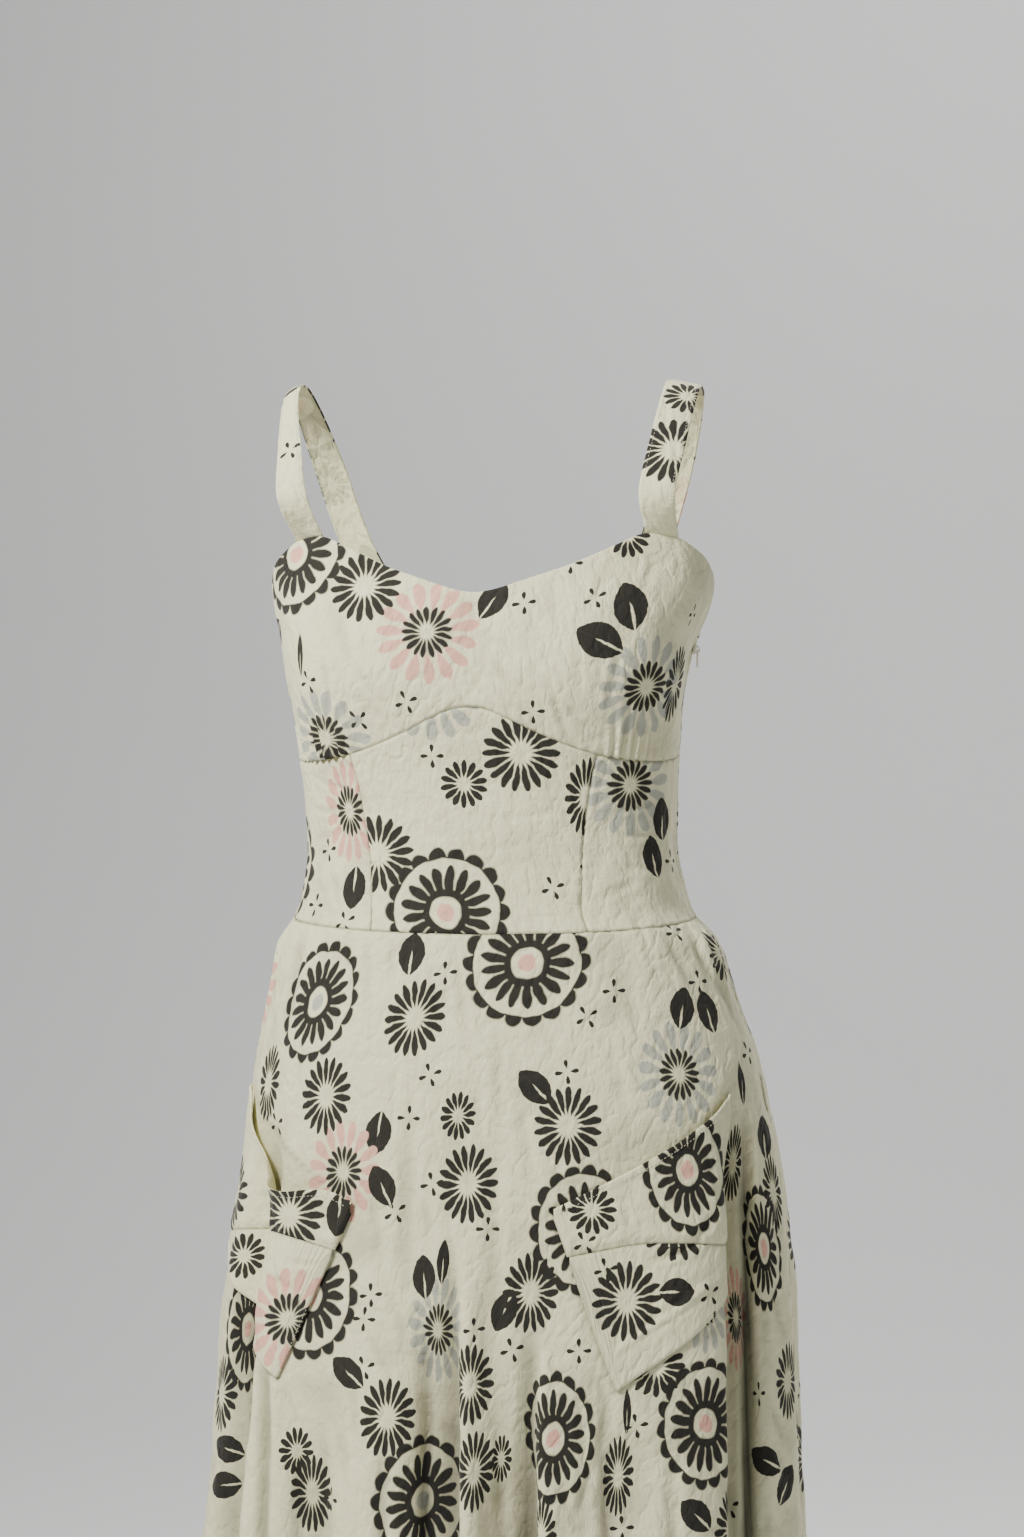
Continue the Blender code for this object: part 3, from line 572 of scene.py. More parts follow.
SKIRT_CREASES = (
    (366, 940, 374, 1052, 3.4, 1.3), (350, 950, 352, 1010, 2.4, 0.9),
    (300, 940, 284, 1040, 3.6, 1.3), (327, 930, 322, 985, 2.6, 1.0),
    (390, 935, 396, 1000, 3.2, 1.1), (428, 935, 438, 1030, 3.0, 0.9),
    (455, 950, 470, 1060, 4.0, 1.0), (497, 1040, 500, 1120, 4.6, 1.5),
    (476, 1090, 484, 1170, 4.2, 1.3), (520, 1110, 536, 1190, 5.0, 1.7),
    (545, 1030, 560, 1060, 3.4, 0.7), (585, 940, 596, 975, 3.0, 0.7),
    (640, 925, 660, 985, 3.4, 1.0), (664, 930, 700, 1000, 3.8, 1.5),
    (686, 925, 724, 1000, 3.2, 1.6), (708, 960, 744, 1040, 3.0, 1.3),
    (706, 940, 716, 975, 2.4, 1.1), (630, 990, 640, 1050, 4.0, 0.8),
    (610, 1040, 625, 1110, 5.0, 0.9), (398, 1060, 390, 1160, 4.0, 1.1),
    (300, 1050, 296, 1140, 3.6, 1.1), (262, 1010, 252, 1080, 3.4, 1.1),
    (371, 1185, 378, 1262, 3.8, 1.3), (379, 1262, 408, 1345, 3.4, 1.5),
    (367, 1330, 398, 1394, 3.6, 1.6), (381, 1336, 404, 1386, 2.6, 1.1),
    (398, 1392, 420, 1424, 3.0, 1.2), (424, 1192, 427, 1240, 4.0, 1.3),
    (446, 1196, 452, 1262, 4.2, 1.0), (284, 1388, 300, 1424, 2.4, 1.4),
    (538, 1278, 548, 1352, 1.7, 1.4), (545, 1335, 592, 1336, 1.5, 1.1),
    (548, 1350, 556, 1384, 2.0, 1.2), (599, 1382, 608, 1408, 3.0, 1.2),
    (607, 1404, 598, 1456, 3.4, 1.5), (599, 1452, 574, 1524, 3.4, 1.4),
    (560, 1490, 580, 1536, 3.2, 1.2), (574, 1385, 590, 1470, 3.4, 1.0),
    (642, 1480, 658, 1496, 1.8, 1.2), (656, 1494, 688, 1511, 1.8, 1.2),
    (652, 1356, 700, 1338, 4.2, 1.1), (640, 1400, 660, 1352, 3.6, 1.1),
    (480, 1290, 486, 1400, 5.0, 1.3), (494, 1400, 500, 1520, 4.6, 1.6),
    (340, 1430, 346, 1520, 4.2, 1.4), (352, 1380, 356, 1440, 3.6, 1.1),
    (322, 1420, 330, 1500, 3.4, 1.0), (770, 1270, 786, 1340, 3.4, 1.6),
    (766, 1390, 784, 1440, 3.0, 1.5), (772, 1440, 790, 1480, 3.0, 1.3),
    (774, 1310, 790, 1282, 2.8, 1.1), (250, 1320, 262, 1400, 4.2, 1.3),
    (232, 1250, 240, 1340, 3.6, 1.2), (218, 1400, 224, 1500, 3.6, 1.2),
    (244, 1430, 252, 1530, 4.0, 1.2), (264, 1400, 276, 1520, 4.0, 1.0),
    (712, 1450, 740, 1530, 4.2, 1.2), (682, 1490, 690, 1536, 4.0, 0.8),
    (452, 1240, 447, 1740, 6.5, 7.0), (468, 1280, 472, 1740, 7.0, -3.6),
    (531, 1330, 521, 1740, 6.5, 6.4), (547, 1350, 545, 1740, 7.0, -3.4),
    (264, 1300, 258, 1740, 6.0, 8.0), (745, 1110, 750, 1700, 4.6, 8.0),
    (606, 1390, 612, 1760, 6.5, 4.2), (430, 1330, 428, 1760, 7.5, 4.6),
    (385, 1430, 378, 1760, 6.5, 3.4), (672, 1460, 676, 1740, 6.5, 3.2),
    (300, 1430, 291, 1740, 6.0, 3.2), (494, 1120, 492, 1420, 7.0, 2.2),
    (410, 1080, 404, 1300, 7.0, 2.0),
)
POCKET_CREASES = (
    (613, 1356, 650, 1326, 3.0, -1.0), (650, 1326, 724, 1276, 3.4, -1.1),
    (640, 1328, 690, 1296, 3.2, 1.1), (661, 1316, 677, 1312, 2.6, 0.9),
    (600, 1296, 604, 1344, 3.0, 0.9), (646, 1262, 686, 1252, 3.2, 1.0),
    (690, 1250, 716, 1214, 3.4, 1.2), (706, 1150, 726, 1210, 3.2, 1.1),
    (622, 1196, 632, 1232, 2.8, 0.8), (600, 1180, 640, 1166, 2.6, 0.5),
    (580, 1198, 610, 1188, 2.4, 0.6), (665, 1262, 700, 1240, 2.6, 0.7),
    (296, 1200, 318, 1246, 2.6, 0.9), (322, 1206, 330, 1250, 2.4, 0.8),
    (262, 1180, 276, 1240, 3.0, 1.1), (284, 1262, 320, 1266, 2.6, 0.9),
    (262, 1274, 300, 1292, 3.0, 1.1), (270, 1262, 284, 1300, 2.4, 0.9),
    (288, 1350, 300, 1330, 2.6, 0.9), (276, 1358, 286, 1374, 2.2, 0.8),
)

# Creases of the hidden sides: turn and height of the start and the end, half width, depth
BACK_CREASES = (
    (112, -205, 120, -290, 4.0, 1.0), (130, -215, 134, -300, 3.4, 0.7),
    (152, -220, 150, -330, 4.4, 0.8), (172, -230, 176, -350, 4.0, 0.7),
    (196, -225, 192, -320, 4.2, 0.8), (222, -210, 216, -300, 3.6, 0.9),
    (244, -215, 238, -290, 3.8, 1.0), (104, -330, 128, -340, 3.4, 0.9),
    (106, -356, 132, -352, 3.2, 1.0), (236, -335, 258, -328, 3.2, 1.0),
    (230, -360, 256, -352, 3.0, 0.9), (150, -372, 172, -366, 3.0, 0.6),
    (186, -384, 206, -378, 3.0, 0.6), (118, -376, 122, -404, 2.6, 0.8),
    (98, -240, 104, -300, 3.2, 1.1), (258, -236, 254, -302, 3.2, 1.1),
)
SKIRT_BACK_CREASES = (
    (100, -412, 98, -500, 3.4, 1.3), (112, -412, 115, -476, 3.0, 1.2),
    (126, -410, 122, -540, 4.2, 1.4), (140, -410, 144, -490, 3.2, 1.0),
    (156, -409, 152, -560, 4.4, 1.3), (170, -408, 174, -470, 3.0, 0.9),
    (184, -408, 181, -580, 4.2, 1.2), (200, -409, 204, -500, 3.4, 1.1),
    (216, -410, 212, -560, 4.2, 1.4), (232, -411, 238, -480, 3.2, 1.2),
    (250, -412, 247, -520, 3.8, 1.4), (262, -413, 264, -470, 2.8, 1.1),
    (118, -620, 124, -800, 5.0, 1.6), (133, -700, 130, -940, 5.0, 1.4),
    (151, -660, 156, -860, 4.6, 1.5), (169, -720, 166, -980, 5.0, 1.4),
    (188, -650, 192, -850, 4.6, 1.5), (204, -700, 200, -960, 5.0, 1.4),
    (222, -640, 226, -820, 4.6, 1.5), (240, -700, 236, -930, 5.0, 1.5),
    (108, -720, 104, -900, 4.6, 1.4), (256, -650, 259, -850, 4.6, 1.4),
)


def picture_creases(rows):
    """Relief of creases that are placed in the picture, on what faces the camera."""
    def relief(points, out, across, up):
        x, y = picture_place(points)
        return crease_relief(x, y, rows, CREASE_PIXELS_PER_MM) * ease(facing(out) / 0.3)
    return relief


def gathers(turn, height):
    """The gathered ridges above the underbust seam."""
    above = height - underbust(np.abs(turn))
    total = np.zeros_like(height)
    for rows, side in ((GATHERS_LEFT, 1.0), (GATHERS_RIGHT, -1.0)):
        for middle, reach, depth, half_width, lean in rows:
            line = middle + lean * above / 60.0
            strength = 1.0 - ease(above / reach)
            widen = half_width * (1.0 + 0.5 * ease(above / reach))
            aside = side * turn - line
            total += 1.35 * depth * strength * hump(aside, widen)
            total -= 0.5 * depth * strength * np.exp(-((np.abs(aside) - widen) / 0.35) ** 2)
    return total


def bust_cloth():
    """The bust front."""
    columns = 90.0 * (2.0 * stations(400.0, FINE_STEP) - 1.0)
    rows = stations(130.0, 1.9)
    turn, part = np.meshgrid(columns, rows)
    low = underbust(np.abs(turn))
    height = low + (front_edge(np.abs(turn)) - low) * part
    seen = picture_creases(BUST_CREASES)

    def extra(points, out, across, up):
        return gathers(turn, height) + seen(points, out, across, up)

    return sewn_panel("bust_cloth", bodice_point, turn, height, 11, ("left", "right", "foot"),
                      extra, ("head",))


def midriff_cloth(name, side, seed):
    """A midriff panel: the centre one (side 0) or one of the two side ones (1 or -1)."""
    columns, rows = stations(150.0 if side == 0 else 118.0, 2.2), stations(140.0, 2.2)
    across, part = np.meshgrid(columns, rows)
    head, foot = PANEL_SEAM[0][0], PANEL_SEAM[-1][0]
    seam = panel_seam(foot + (head - foot) * part)
    if side == 0:
        turn = seam * (2.0 * across - 1.0)
    elif side > 0:
        turn = seam + (90.0 - seam) * across
    else:
        turn = -90.0 + (90.0 - seam) * across
    low = waist(np.abs(turn))
    height = low + (underbust(np.abs(turn)) - low) * part
    return sewn_panel(name, bodice_point, turn, height, seed, ("left", "right", "foot", "head"),
                      picture_creases(MIDRIFF_CREASES))


def hidden_creases(rows, turn, height):
    """Relief of creases of the hidden sides, shallower where the dress is narrow."""
    scale = HIDDEN_CREASE_PER_DEGREE
    scaled = [(start * scale, low, end * scale, high, half_width, depth)
              for start, low, end, high, half_width, depth in rows]
    mm_per_degree = SECTION["half_width"](height) * 0.0148
    relief = crease_relief(turn * scale, height, scaled) * np.minimum(1.0, mm_per_degree / 2.0)
    return lambda *at: relief


def bodice_back_cloth():
    """The back of the bodice."""
    columns = 90.0 + 180.0 * stations(380.0, 2.6)
    turn, part = np.meshgrid(columns, stations(230.0, 2.6))
    around = np.abs(round_turn(turn))
    low = waist(around)
    height = low + (back_edge(around) - low) * part
    return sewn_panel("bodice_back_cloth", plain_point, turn, height, 31,
                      ("left", "right", "foot"), hidden_creases(BACK_CREASES, turn, height), ("head",))


def skirt_cloth(name, low_turn, grid, seed):
    """The front or back half of the skirt, from the hem up to the waist seam."""
    columns, rows = grid
    across = stations(SKIRT_STEP_ACROSS * columns, SKIRT_STEP_ACROSS)
    up = stations(SKIRT_STEP_UP * rows, SKIRT_STEP_UP)
    turn, part = np.meshgrid(low_turn + 180.0 * across, up)
    top = waist(np.abs(round_turn(turn)))
    height = HEM + (top - HEM) * part
    hem = turned_under(height - HEM, HEM_WIDTH, 0.5, 1.6)
    if low_turn < 0.0:
        creases = picture_creases(SKIRT_CREASES)
    else:
        creases = hidden_creases(SKIRT_BACK_CREASES, turn, height)

    def extra(points, out, across, up):
        return hem + creases(points, out, across, up)

    panel = sewn_panel(name, skirt_point, turn, height, seed, ("left", "right", "head"), extra)
    # Under a pocket the skirt is smooth, and it is drawn in along the sewn edge
    sewn, below = inside_pocket(np.abs(round_turn(turn)), height)
    nearest = np.minimum(sewn, below)
    covered = ease((nearest + 3.0) / 3.0)[..., None]
    panel.points = panel.points * (1.0 - covered) + skirt_point(turn, height) * covered
    drawn_in = 0.9 * np.exp(-((np.abs(sewn) / 2.6) ** 2)) * (below > -2.0)
    panel.points = panel.points - panel.out * drawn_in[..., None]
    # Painted shade and shadow: its colour is darkened by that edge and by the mouth, under the pocket
    # and in the folds' valleys
    painted_edge_shadow = painted_seam_shade(np.abs(sewn), 0.44, 1.5) * (below > -1.0)
    painted_mouth_shadow = painted_seam_shade(below, 0.40, 2.2) * (sewn > -1.0)
    within = 0.20 * ease((nearest + 1.0) / 3.0)
    painted_fold_shade = 0.40 * np.clip((1.0 - fold_depth(turn, height)) / 13.0, 0.0, 1.0)
    panel.shade = np.maximum.reduce([panel.shade + painted_fold_shade, painted_edge_shadow, painted_mouth_shadow, within])
    return panel


def line_height(start, end, turn):
    """Heights at turns on the straight line between two corners."""
    return start[1] + (end[1] - start[1]) * (turn - start[0]) / (end[0] - start[0])


def pocket_top(turn):
    """Upper outline of a pocket: its mouth, then its outer edge."""
    mouth = line_height(POCKET["inner_top"], POCKET["outer_top"], turn)
    edge = line_height(POCKET["outer_top"], POCKET["outer_low"], turn)
    return np.where(turn <= POCKET["outer_top"][0], mouth, edge)


def pocket_foot(turn):
    """Lower outline of a pocket: its inner edge, then its bottom edge."""
    inner = line_height(POCKET["inner_top"], POCKET["tip"], turn)
    bottom = line_height(POCKET["tip"], POCKET["outer_low"], turn)
    return np.where(turn <= POCKET["tip"][0], inner, bottom)


def off_line(start, end, turn, height):
    """Distance over the cloth from the straight line between two pocket corners, going round it."""
    run_x, run_y = (end[0] - start[0]) * POCKET_MM_PER_DEGREE, end[1] - start[1]
    from_x = (turn - start[0]) * POCKET_MM_PER_DEGREE
    return (run_x * (height - start[1]) - run_y * from_x) / math.hypot(run_x, run_y)


def inside_pocket(turn, height):
    """Distance in from a pocket's sewn edges, and from its mouth."""
    sewn = off_line(POCKET["inner_top"], POCKET["tip"], turn, height)
    sewn = np.minimum(sewn, off_line(POCKET["tip"], POCKET["outer_low"], turn, height))
    sewn = np.minimum(sewn, off_line(POCKET["outer_low"], POCKET["outer_top"], turn, height))
    return sewn, off_line(POCKET["outer_top"], POCKET["inner_top"], turn, height)


def pocket_cloth(part_name, word, seed):
    """The bag or the mouth band of the left or right pocket, laid over the skirt."""
    is_band = part_name == "band"
    # Its outline, in columns from the inner to the outer corner
    first, last = POCKET["inner_top"][0] + 0.7, POCKET["outer_low"][0] - 0.7
    columns = first + (last - first) * stations(150.0, FINE_STEP, SMALL_MARGIN)
    if is_band:
        low = np.maximum(band_seam(columns), pocket_foot(columns))
        high = pocket_top(columns)
    else:
        low = pocket_foot(columns)
        high = np.minimum(band_seam(columns), pocket_top(columns))
    kept = high - low > 3.0
    columns, low, high = columns[kept], low[kept], high[kept]
    if word == "right":
        columns, low, high = -columns[::-1], low[::-1], high[::-1]
    rows = stations(90.0, FINE_STEP, SMALL_MARGIN)
    turn = np.tile(columns, (len(rows), 1))
    height = low + (high - low) * rows[:, None]
    around = np.abs(turn)
    sewn, below = inside_pocket(around, height)
    sewn, below = np.maximum(sewn, 0.0), np.maximum(below, 0.0)
    # How far it stands off the skirt: eased in from its sewn edges, more at the doubled band and
    # where the mouth gapes, and down to the skirt along the sewn edges
    lift = POCKET_REST + POCKET_EASE * ease(sewn / 36.0) + BAG_LIFT
    from_seam = np.abs(height - band_seam(around))
    if is_band:
        lift += (BAND_LIFT - BAG_LIFT) * ease(from_seam / 7.0)
    middle, half, gape, sag = GAPES[word]
    straight = height
    if is_band:
        part = (height - low) / (high - low)
        height = height - sag * hump(around - middle, half) * part ** 1.5
    lift += gape * hump(around - middle, half) * np.exp(-below / 26.0)
    lift -= (lift - 2.1) * (1.0 - ease(sewn / 2.6)) ** 1.3
    lift -= 1.1 * (1.0 - ease(sewn / 0.7))
    base = skirt_point(turn, height)
    out = level_out(skirt_point, turn, height)
    points = base + out * lift[..., None]
    across = lengths_along(points, 1)
    relief = cloth_relief(turn * CRUMPLE_PER_DEGREE, height, seed, SMALL_RELIEF)
    relief -= seam_drop(from_seam, 0.6, 2.0)
    relief += pucker(across, from_seam, 0.22, 7.5, 7.0, seed + 3)
    relief += pucker(across + height, sewn, 0.3, 9.0, 8.0, seed + 4)
    relief += turned_under(sewn, 4.0, 0.3)
    if is_band:
        relief -= seam_drop(below, 0.7, 1.3)
        relief += turned_under(below, 5.0, 0.3)
    seen = picture_creases(POCKET_CREASES)
    relief = (relief + seen(points, out, across, height)) * ease(sewn / 5.0)
    lengths = Lengths(skirt_point, turn, height)
    wall = BAND_CLOTH if is_band else CLOTH
    name = f"pocket_{part_name}_{word}_cloth"
    panel = Panel(name, points + out * relief[..., None], out, wall, lengths)
    # Painted shade: its colour is darkened in its creases, along the band seam and along its sewn edges
    shade = [painted_crease_shade(relief), painted_seam_shade(from_seam), painted_seam_shade(sewn, 0.30, 0.8)]
    panel.shade = np.maximum.reduce(shade)
    panel.laid_out = skirt_point(turn, straight)
    level = lengths_along(skirt_point(turn[:1], np.full_like(turn[:1], straight.mean())), 1)
    panel.flat_box = (level[0, -1], straight.max() - straight.min())
    return panel


def smooth_path(points, count):
    """Points along a smooth curve through the given ones, count to each stretch."""
    padded = [points[0] * 2.0 - points[1], *points, points[-1] * 2.0 - points[-2]]
    path = []
    for before, start, end, after in zip(padded, padded[1:], padded[2:], padded[3:]):
        for i in range(count):
            t = i / count
            path.append(0.5 * (2.0 * start + (end - before) * t
                               + (2.0 * before - 5.0 * start + 4.0 * end - after) * t * t
                               + (3.0 * start - before - 3.0 * end + after) * t ** 3))
    path.append(points[-1])
    return path


def strap_cloth(name, side, rows, seed):
    """A shoulder strap from the bust's top edge over the shoulder to the back's top edge."""
    def seat(point_of, edge, turns, across):
        turn = np.array([turns[0] + (turns[1] - turns[0]) * across])
        return point_of(side * turn, edge(turn))[0]

    neck_side = [seat(bodice_point, front_edge, STRAP_FRONT_TURNS, 0.0)]
    arm_side = [seat(bodice_point, front_edge, STRAP_FRONT_TURNS, 1.0)]
    for out, along, height, width, roll in rows:
        tilt = math.radians(roll)
        half = np.array([side * math.cos(tilt), 0.0, -math.sin(tilt)]) * width / 2.0
        middle = np.array([side * out, along, height])
        neck_side.append(middle - half)
        arm_side.append(middle + half)
    neck_side.append(seat(plain_point, back_edge, STRAP_BACK_TURNS, 0.0))
    arm_side.append(seat(plain_point, back_edge, STRAP_BACK_TURNS, 1.0))
    neck_path = np.array(smooth_path(neck_side, 16))
    arm_path = np.array(smooth_path(arm_side, 16))
    parts = stations(STRAP_WIDTH, FINE_STEP, SMALL_MARGIN)[None, :, None]
    points = neck_path[:, None, :] * (1.0 - parts) + arm_path[:, None, :] * parts
    run = np.gradient(neck_path + arm_path, axis=0)
    out = unit(np.cross(arm_path - neck_path, run) * side)
    out = np.repeat(out[:, None, :], points.shape[1], axis=1)
    across = parts[..., 0]
    edge = STRAP_WIDTH * np.minimum(across, 1.0 - across)
    bow = STRAP_BOW * (1.0 - (2.0 * across - 1.0) ** 2)
    along = lengths_along(points, 0)
    relief = bow + cloth_relief(across * STRAP_WIDTH + seed, along, seed, SMALL_RELIEF)
    relief -= seam_drop(edge, 0.7, 1.5)
    relief += 0.22 * np.sin(along / 2.6 + 3.0 * across) * np.exp(-edge / 4.0)
    ends = np.minimum(along, along[-1:, :] - along)
    points = points + out * (relief * ease(ends / 6.0))[..., None]
    if side > 0:
        return Panel(name, points, out, STRAP_CLOTH)
    return Panel(name, points[:, ::-1], out[:, ::-1], STRAP_CLOTH)


# The print. Petals and heart are rings of petals: how many, inner and outer end. Trim is the
# radius of a solid core, of its pale centre and of a thin ring with scallops round it.
# Tint is 0 for ink, 1 for pink and 2 for grey, and colours a medallion's middle spot only.
PLAIN = (0, 0, 0)
KIND_COLUMNS = ("radius", "petals", "heart", "trim", "tint", "half_width")
KINDS = {
    "daisy": (29.5, (18, 0.24, 1.0), PLAIN, PLAIN, 0, 0.112),
    "middle daisy": (22.0, (16, 0.24, 1.0), PLAIN, PLAIN, 0, 0.122),
    "small daisy": (18.0, (14, 0.24, 1.0), PLAIN, PLAIN, 0, 0.140),
    "pink double": (39.0, (15, 0.40, 1.0), (17, 0.11, 0.51), PLAIN, 1, 0.124),
    "grey double": (39.0, (15, 0.40, 1.0), (17, 0.11, 0.51), PLAIN, 2, 0.124),
    "pink medallion": (48.0, (17, 0.16, 0.73), PLAIN, (0.37, 0.245, 0.85), 1, 0.093),
    "grey medallion": (48.0, (17, 0.16, 0.73), PLAIN, (0.37, 0.245, 0.85), 2, 0.093),
    "leaf": (16.5, (1, -1.0, 1.0), (1, -1.15, 0.20), PLAIN, 0, 0.640),
    "large leaf": (20.5, (1, -1.0, 1.0), (1, -1.15, 0.20), PLAIN, 0, 0.660),
    "cross": (9.0, (4, 0.28, 1.0), PLAIN, PLAIN, 0, 0.185),
}

# How many motifs may lie over each other on a panel
LAYERS = 3

# Where the motifs fall: kind, place in the picture, turn in degrees, and for some
# how much the cloth's own small folds narrow them
PRINT = {
    "bust_cloth": (
        ("pink medallion", 297, 555, 0), ("daisy", 365, 586, 5), ("pink double", 427, 632, 9),
        ("leaf", 493, 600, 60), ("cross", 524, 603, 10), ("cross", 595, 598, 30),
        ("cross", 571, 563, 0), ("cross", 406, 702, 20), ("cross", 358, 720, 40),
        ("cross", 533, 712, 5), ("cross", 308, 682, 15), ("leaf", 300, 655, 90, 0.35),
        ("grey double", 326, 738, 0), ("large leaf", 631, 606, 112), ("large leaf", 600, 640, 155),
        ("grey double", 647, 687, 12), ("small daisy", 627, 535, 0),
        ("cross", 693, 615, 0, 0.5), ("daisy", 675, 684, 0, 0.50),
    ),
    "midriff_front_cloth": (
        ("grey double", 432, 690, 4), ("cross", 432, 756, 0), ("small daisy", 464, 784, 10),
        ("daisy", 521, 753, 0), ("daisy", 378, 854, 6), ("daisy", 586, 797, 3, 0.55),
        ("pink medallion", 446, 912, 0), ("cross", 553, 888, 20), ("cross", 591, 865, 10),
    ),
    "midriff_right_cloth": (
        ("pink double", 349, 811, 0, 0.62), ("leaf", 354, 888, -90), ("cross", 329, 850, 12),
        ("cross", 316, 905, 0), ("cross", 345, 922, 30),
    ),
    "midriff_left_cloth": (
        ("grey double", 631, 785, 8), ("leaf", 662, 819, 95), ("leaf", 653, 857, 95),
        ("cross", 671, 861, 0),
    ),
    "strap_left_cloth": (
        ("daisy", 673, 450, 0), ("small daisy", 687, 396, 10),
    ),
    "strap_right_cloth": (("cross", 290, 450, 20),),
    "skirt_front_cloth": (
        ("pink medallion", 527, 963, 0), ("grey medallion", 318, 1002, 8, 0.74),
        ("leaf", 412, 954, 95), ("daisy", 415, 1018, 4, 0.80), ("daisy", 326, 1096, 0, 0.74),
        ("daisy", 268, 1083, 0, 0.50), ("pink double", 343, 1172, 6, 0.78),
        ("leaf", 378, 1133, -95), ("leaf", 382, 1186, 120), ("small daisy", 458, 1116, 7, 0.75),
        ("daisy", 468, 1184, 2, 0.78), ("leaf", 535, 1087, 135), ("daisy", 568, 1126, 9, 0.85),
        ("grey double", 680, 1074, 0, 0.84), ("leaf", 682, 1008, 70), ("leaf", 708, 1012, 95),
        ("cross", 445, 973, 10), ("cross", 614, 991, 0), ("cross", 587, 1017, 30),
        ("cross", 674, 932, 12), ("cross", 699, 982, 0), ("cross", 430, 1075, 22),
        ("cross", 567, 1072, 8), ("cross", 409, 1118, 0), ("cross", 432, 1184, 15),
        ("cross", 395, 1212, 35), ("cross", 488, 1229, 0), ("cross", 434, 1237, 20),
        ("cross", 371, 1295, 10), ("cross", 364, 1319, 0), ("cross", 364, 1368, 25),
        ("cross", 474, 1330, 5), ("cross", 512, 1350, 18), ("cross", 579, 1351, 0),
        ("cross", 748, 1053, 12), ("cross", 277, 1124, 30), ("cross", 331, 1499, 0),
        ("cross", 636, 1426, 10), ("cross", 729, 1507, 24), ("cross", 622, 1528, 3),
        ("pink medallion", 584, 1230, 3, 0.84), ("daisy", 531, 1293, 0, 0.72),
        ("leaf", 504, 1311, -115, 0.9), ("leaf", 424, 1277, 100, 0.85),
        ("leaf", 443, 1262, 90, 0.45), ("grey double", 438, 1330, 5, 0.58),
        ("daisy", 470, 1385, 0, 0.66), ("leaf", 348, 1373, 145), ("daisy", 387, 1418, 9, 0.74),
        ("small daisy", 297, 1451, 0, 0.78), ("daisy", 312, 1493, 4, 0.62),
        ("grey medallion", 422, 1500, 0, 0.86), ("daisy", 474, 1472, 8, 0.58),
        ("small daisy", 501, 1459, 0, 0.45), ("pink medallion", 553, 1439, 6, 0.68),
        ("pink medallion", 706, 1424, 2, 0.80), ("middle daisy", 656, 1367, 0),
        ("pink double", 736, 1318, 0, 0.34), ("daisy", 222, 1394, 3, 0.60),
        ("daisy", 618, 1476, 8, 0.40), ("daisy", 729, 1530, 0, 0.60),
        ("leaf", 627, 1412, 90, 0.30), ("leaf", 697, 1516, 135), ("leaf", 227, 1449, 170),
        ("leaf", 224, 1485, 190), ("pink medallion", 310, 1296, 4, 0.86),
        ("pink medallion", 248, 1329, 0, 0.45), ("leaf", 764, 1137, 80),
        ("leaf", 742, 1083, 90, 0.40), ("daisy", 733, 1163, 0, 0.30),
        ("daisy", 773, 1192, 0, 0.42), ("pink medallion", 764, 1248, 0, 0.42),
        ("daisy", 788, 1381, 0, 0.55),
        ("leaf", 766, 1461, 150), ("leaf", 786, 1485, 55), ("cross", 759, 1394, 0, 0.7),
        ("grey double", 706, 1300, 0, 0.60), ("daisy", 541, 1536, 0, 0.4),
    ),
    "pocket_band_left_cloth": (
        ("pink medallion", 687, 1170, 8, 0.70), ("small daisy", 592, 1210, 0), ("cross", 564, 1200, 0),
        ("cross", 585, 1243, 30),
    ),
    "pocket_bag_left_cloth": (
        ("daisy", 627, 1301, 4, 0.88), ("leaf", 677, 1292, 0, 0.78), ("cross", 606, 1270, 15),
        ("cross", 674, 1248, 0), ("cross", 710, 1294, 30), ("cross", 716, 1323, 8),
        ("daisy", 678, 1222, 0),
    ),
    "pocket_band_right_cloth": (
        ("daisy", 289, 1215, 4), ("leaf", 339, 1214, -90), ("daisy", 240, 1192, 0),
    ),
    "pocket_bag_right_cloth": (("pink double", 288, 1319, 7), ("small daisy", 244, 1256, 0)),
}

# How the motifs of the hidden sides are scattered: the seed, the square millimetres that the
# tries are counted for, how near motifs may come, the fewest hidden points that a panel needs,
# and each kind with its tries
PRINT_SEED = 2311
SCATTER_AREA = 2.4e5
NEARNESS = 0.96
PRINT_GAP = 3.0
FEWEST_HIDDEN = 50
SCATTERED = (
    ("pink medallion", 13), ("pink double", 15), ("grey medallion", 5), ("grey double", 15),
    ("daisy", 130), ("middle daisy", 60), ("small daisy", 150), ("leaf", 420), ("cross", 520),
)


class Motif:
    """One printed motif, centred at or near a point of a panel."""

    def __init__(self, kind, row, column, turn, left_x=0.0, left_y=0.0, seed=0.0, squeeze=1.0):
        self.kind = dict(zip(KIND_COLUMNS, KINDS[kind]))
        self.row, self.column = row, column
        self.turn = math.radians(turn)
        self.left_x, self.left_y = left_x, left_y
        self.seed = seed
        self.squeeze = squeeze

    def local(self, panel):
        """Places of the panel's points about the motif's middle, in parts of its radius."""
        if panel.lengths is None:
            across = panel.across - panel.across[:, self.column:self.column + 1]
            up = panel.up - panel.up[self.row:self.row + 1, :]
        else:
            across, up = panel.lengths.about(self.row, self.column)
        across, up = (across - self.left_x) / self.squeeze, up - self.left_y
        cosine, sine = math.cos(self.turn), math.sin(self.turn)
        place = np.stack([across * cosine + up * sine, up * cosine - across * sine], -1)
        return place / self.kind["radius"]


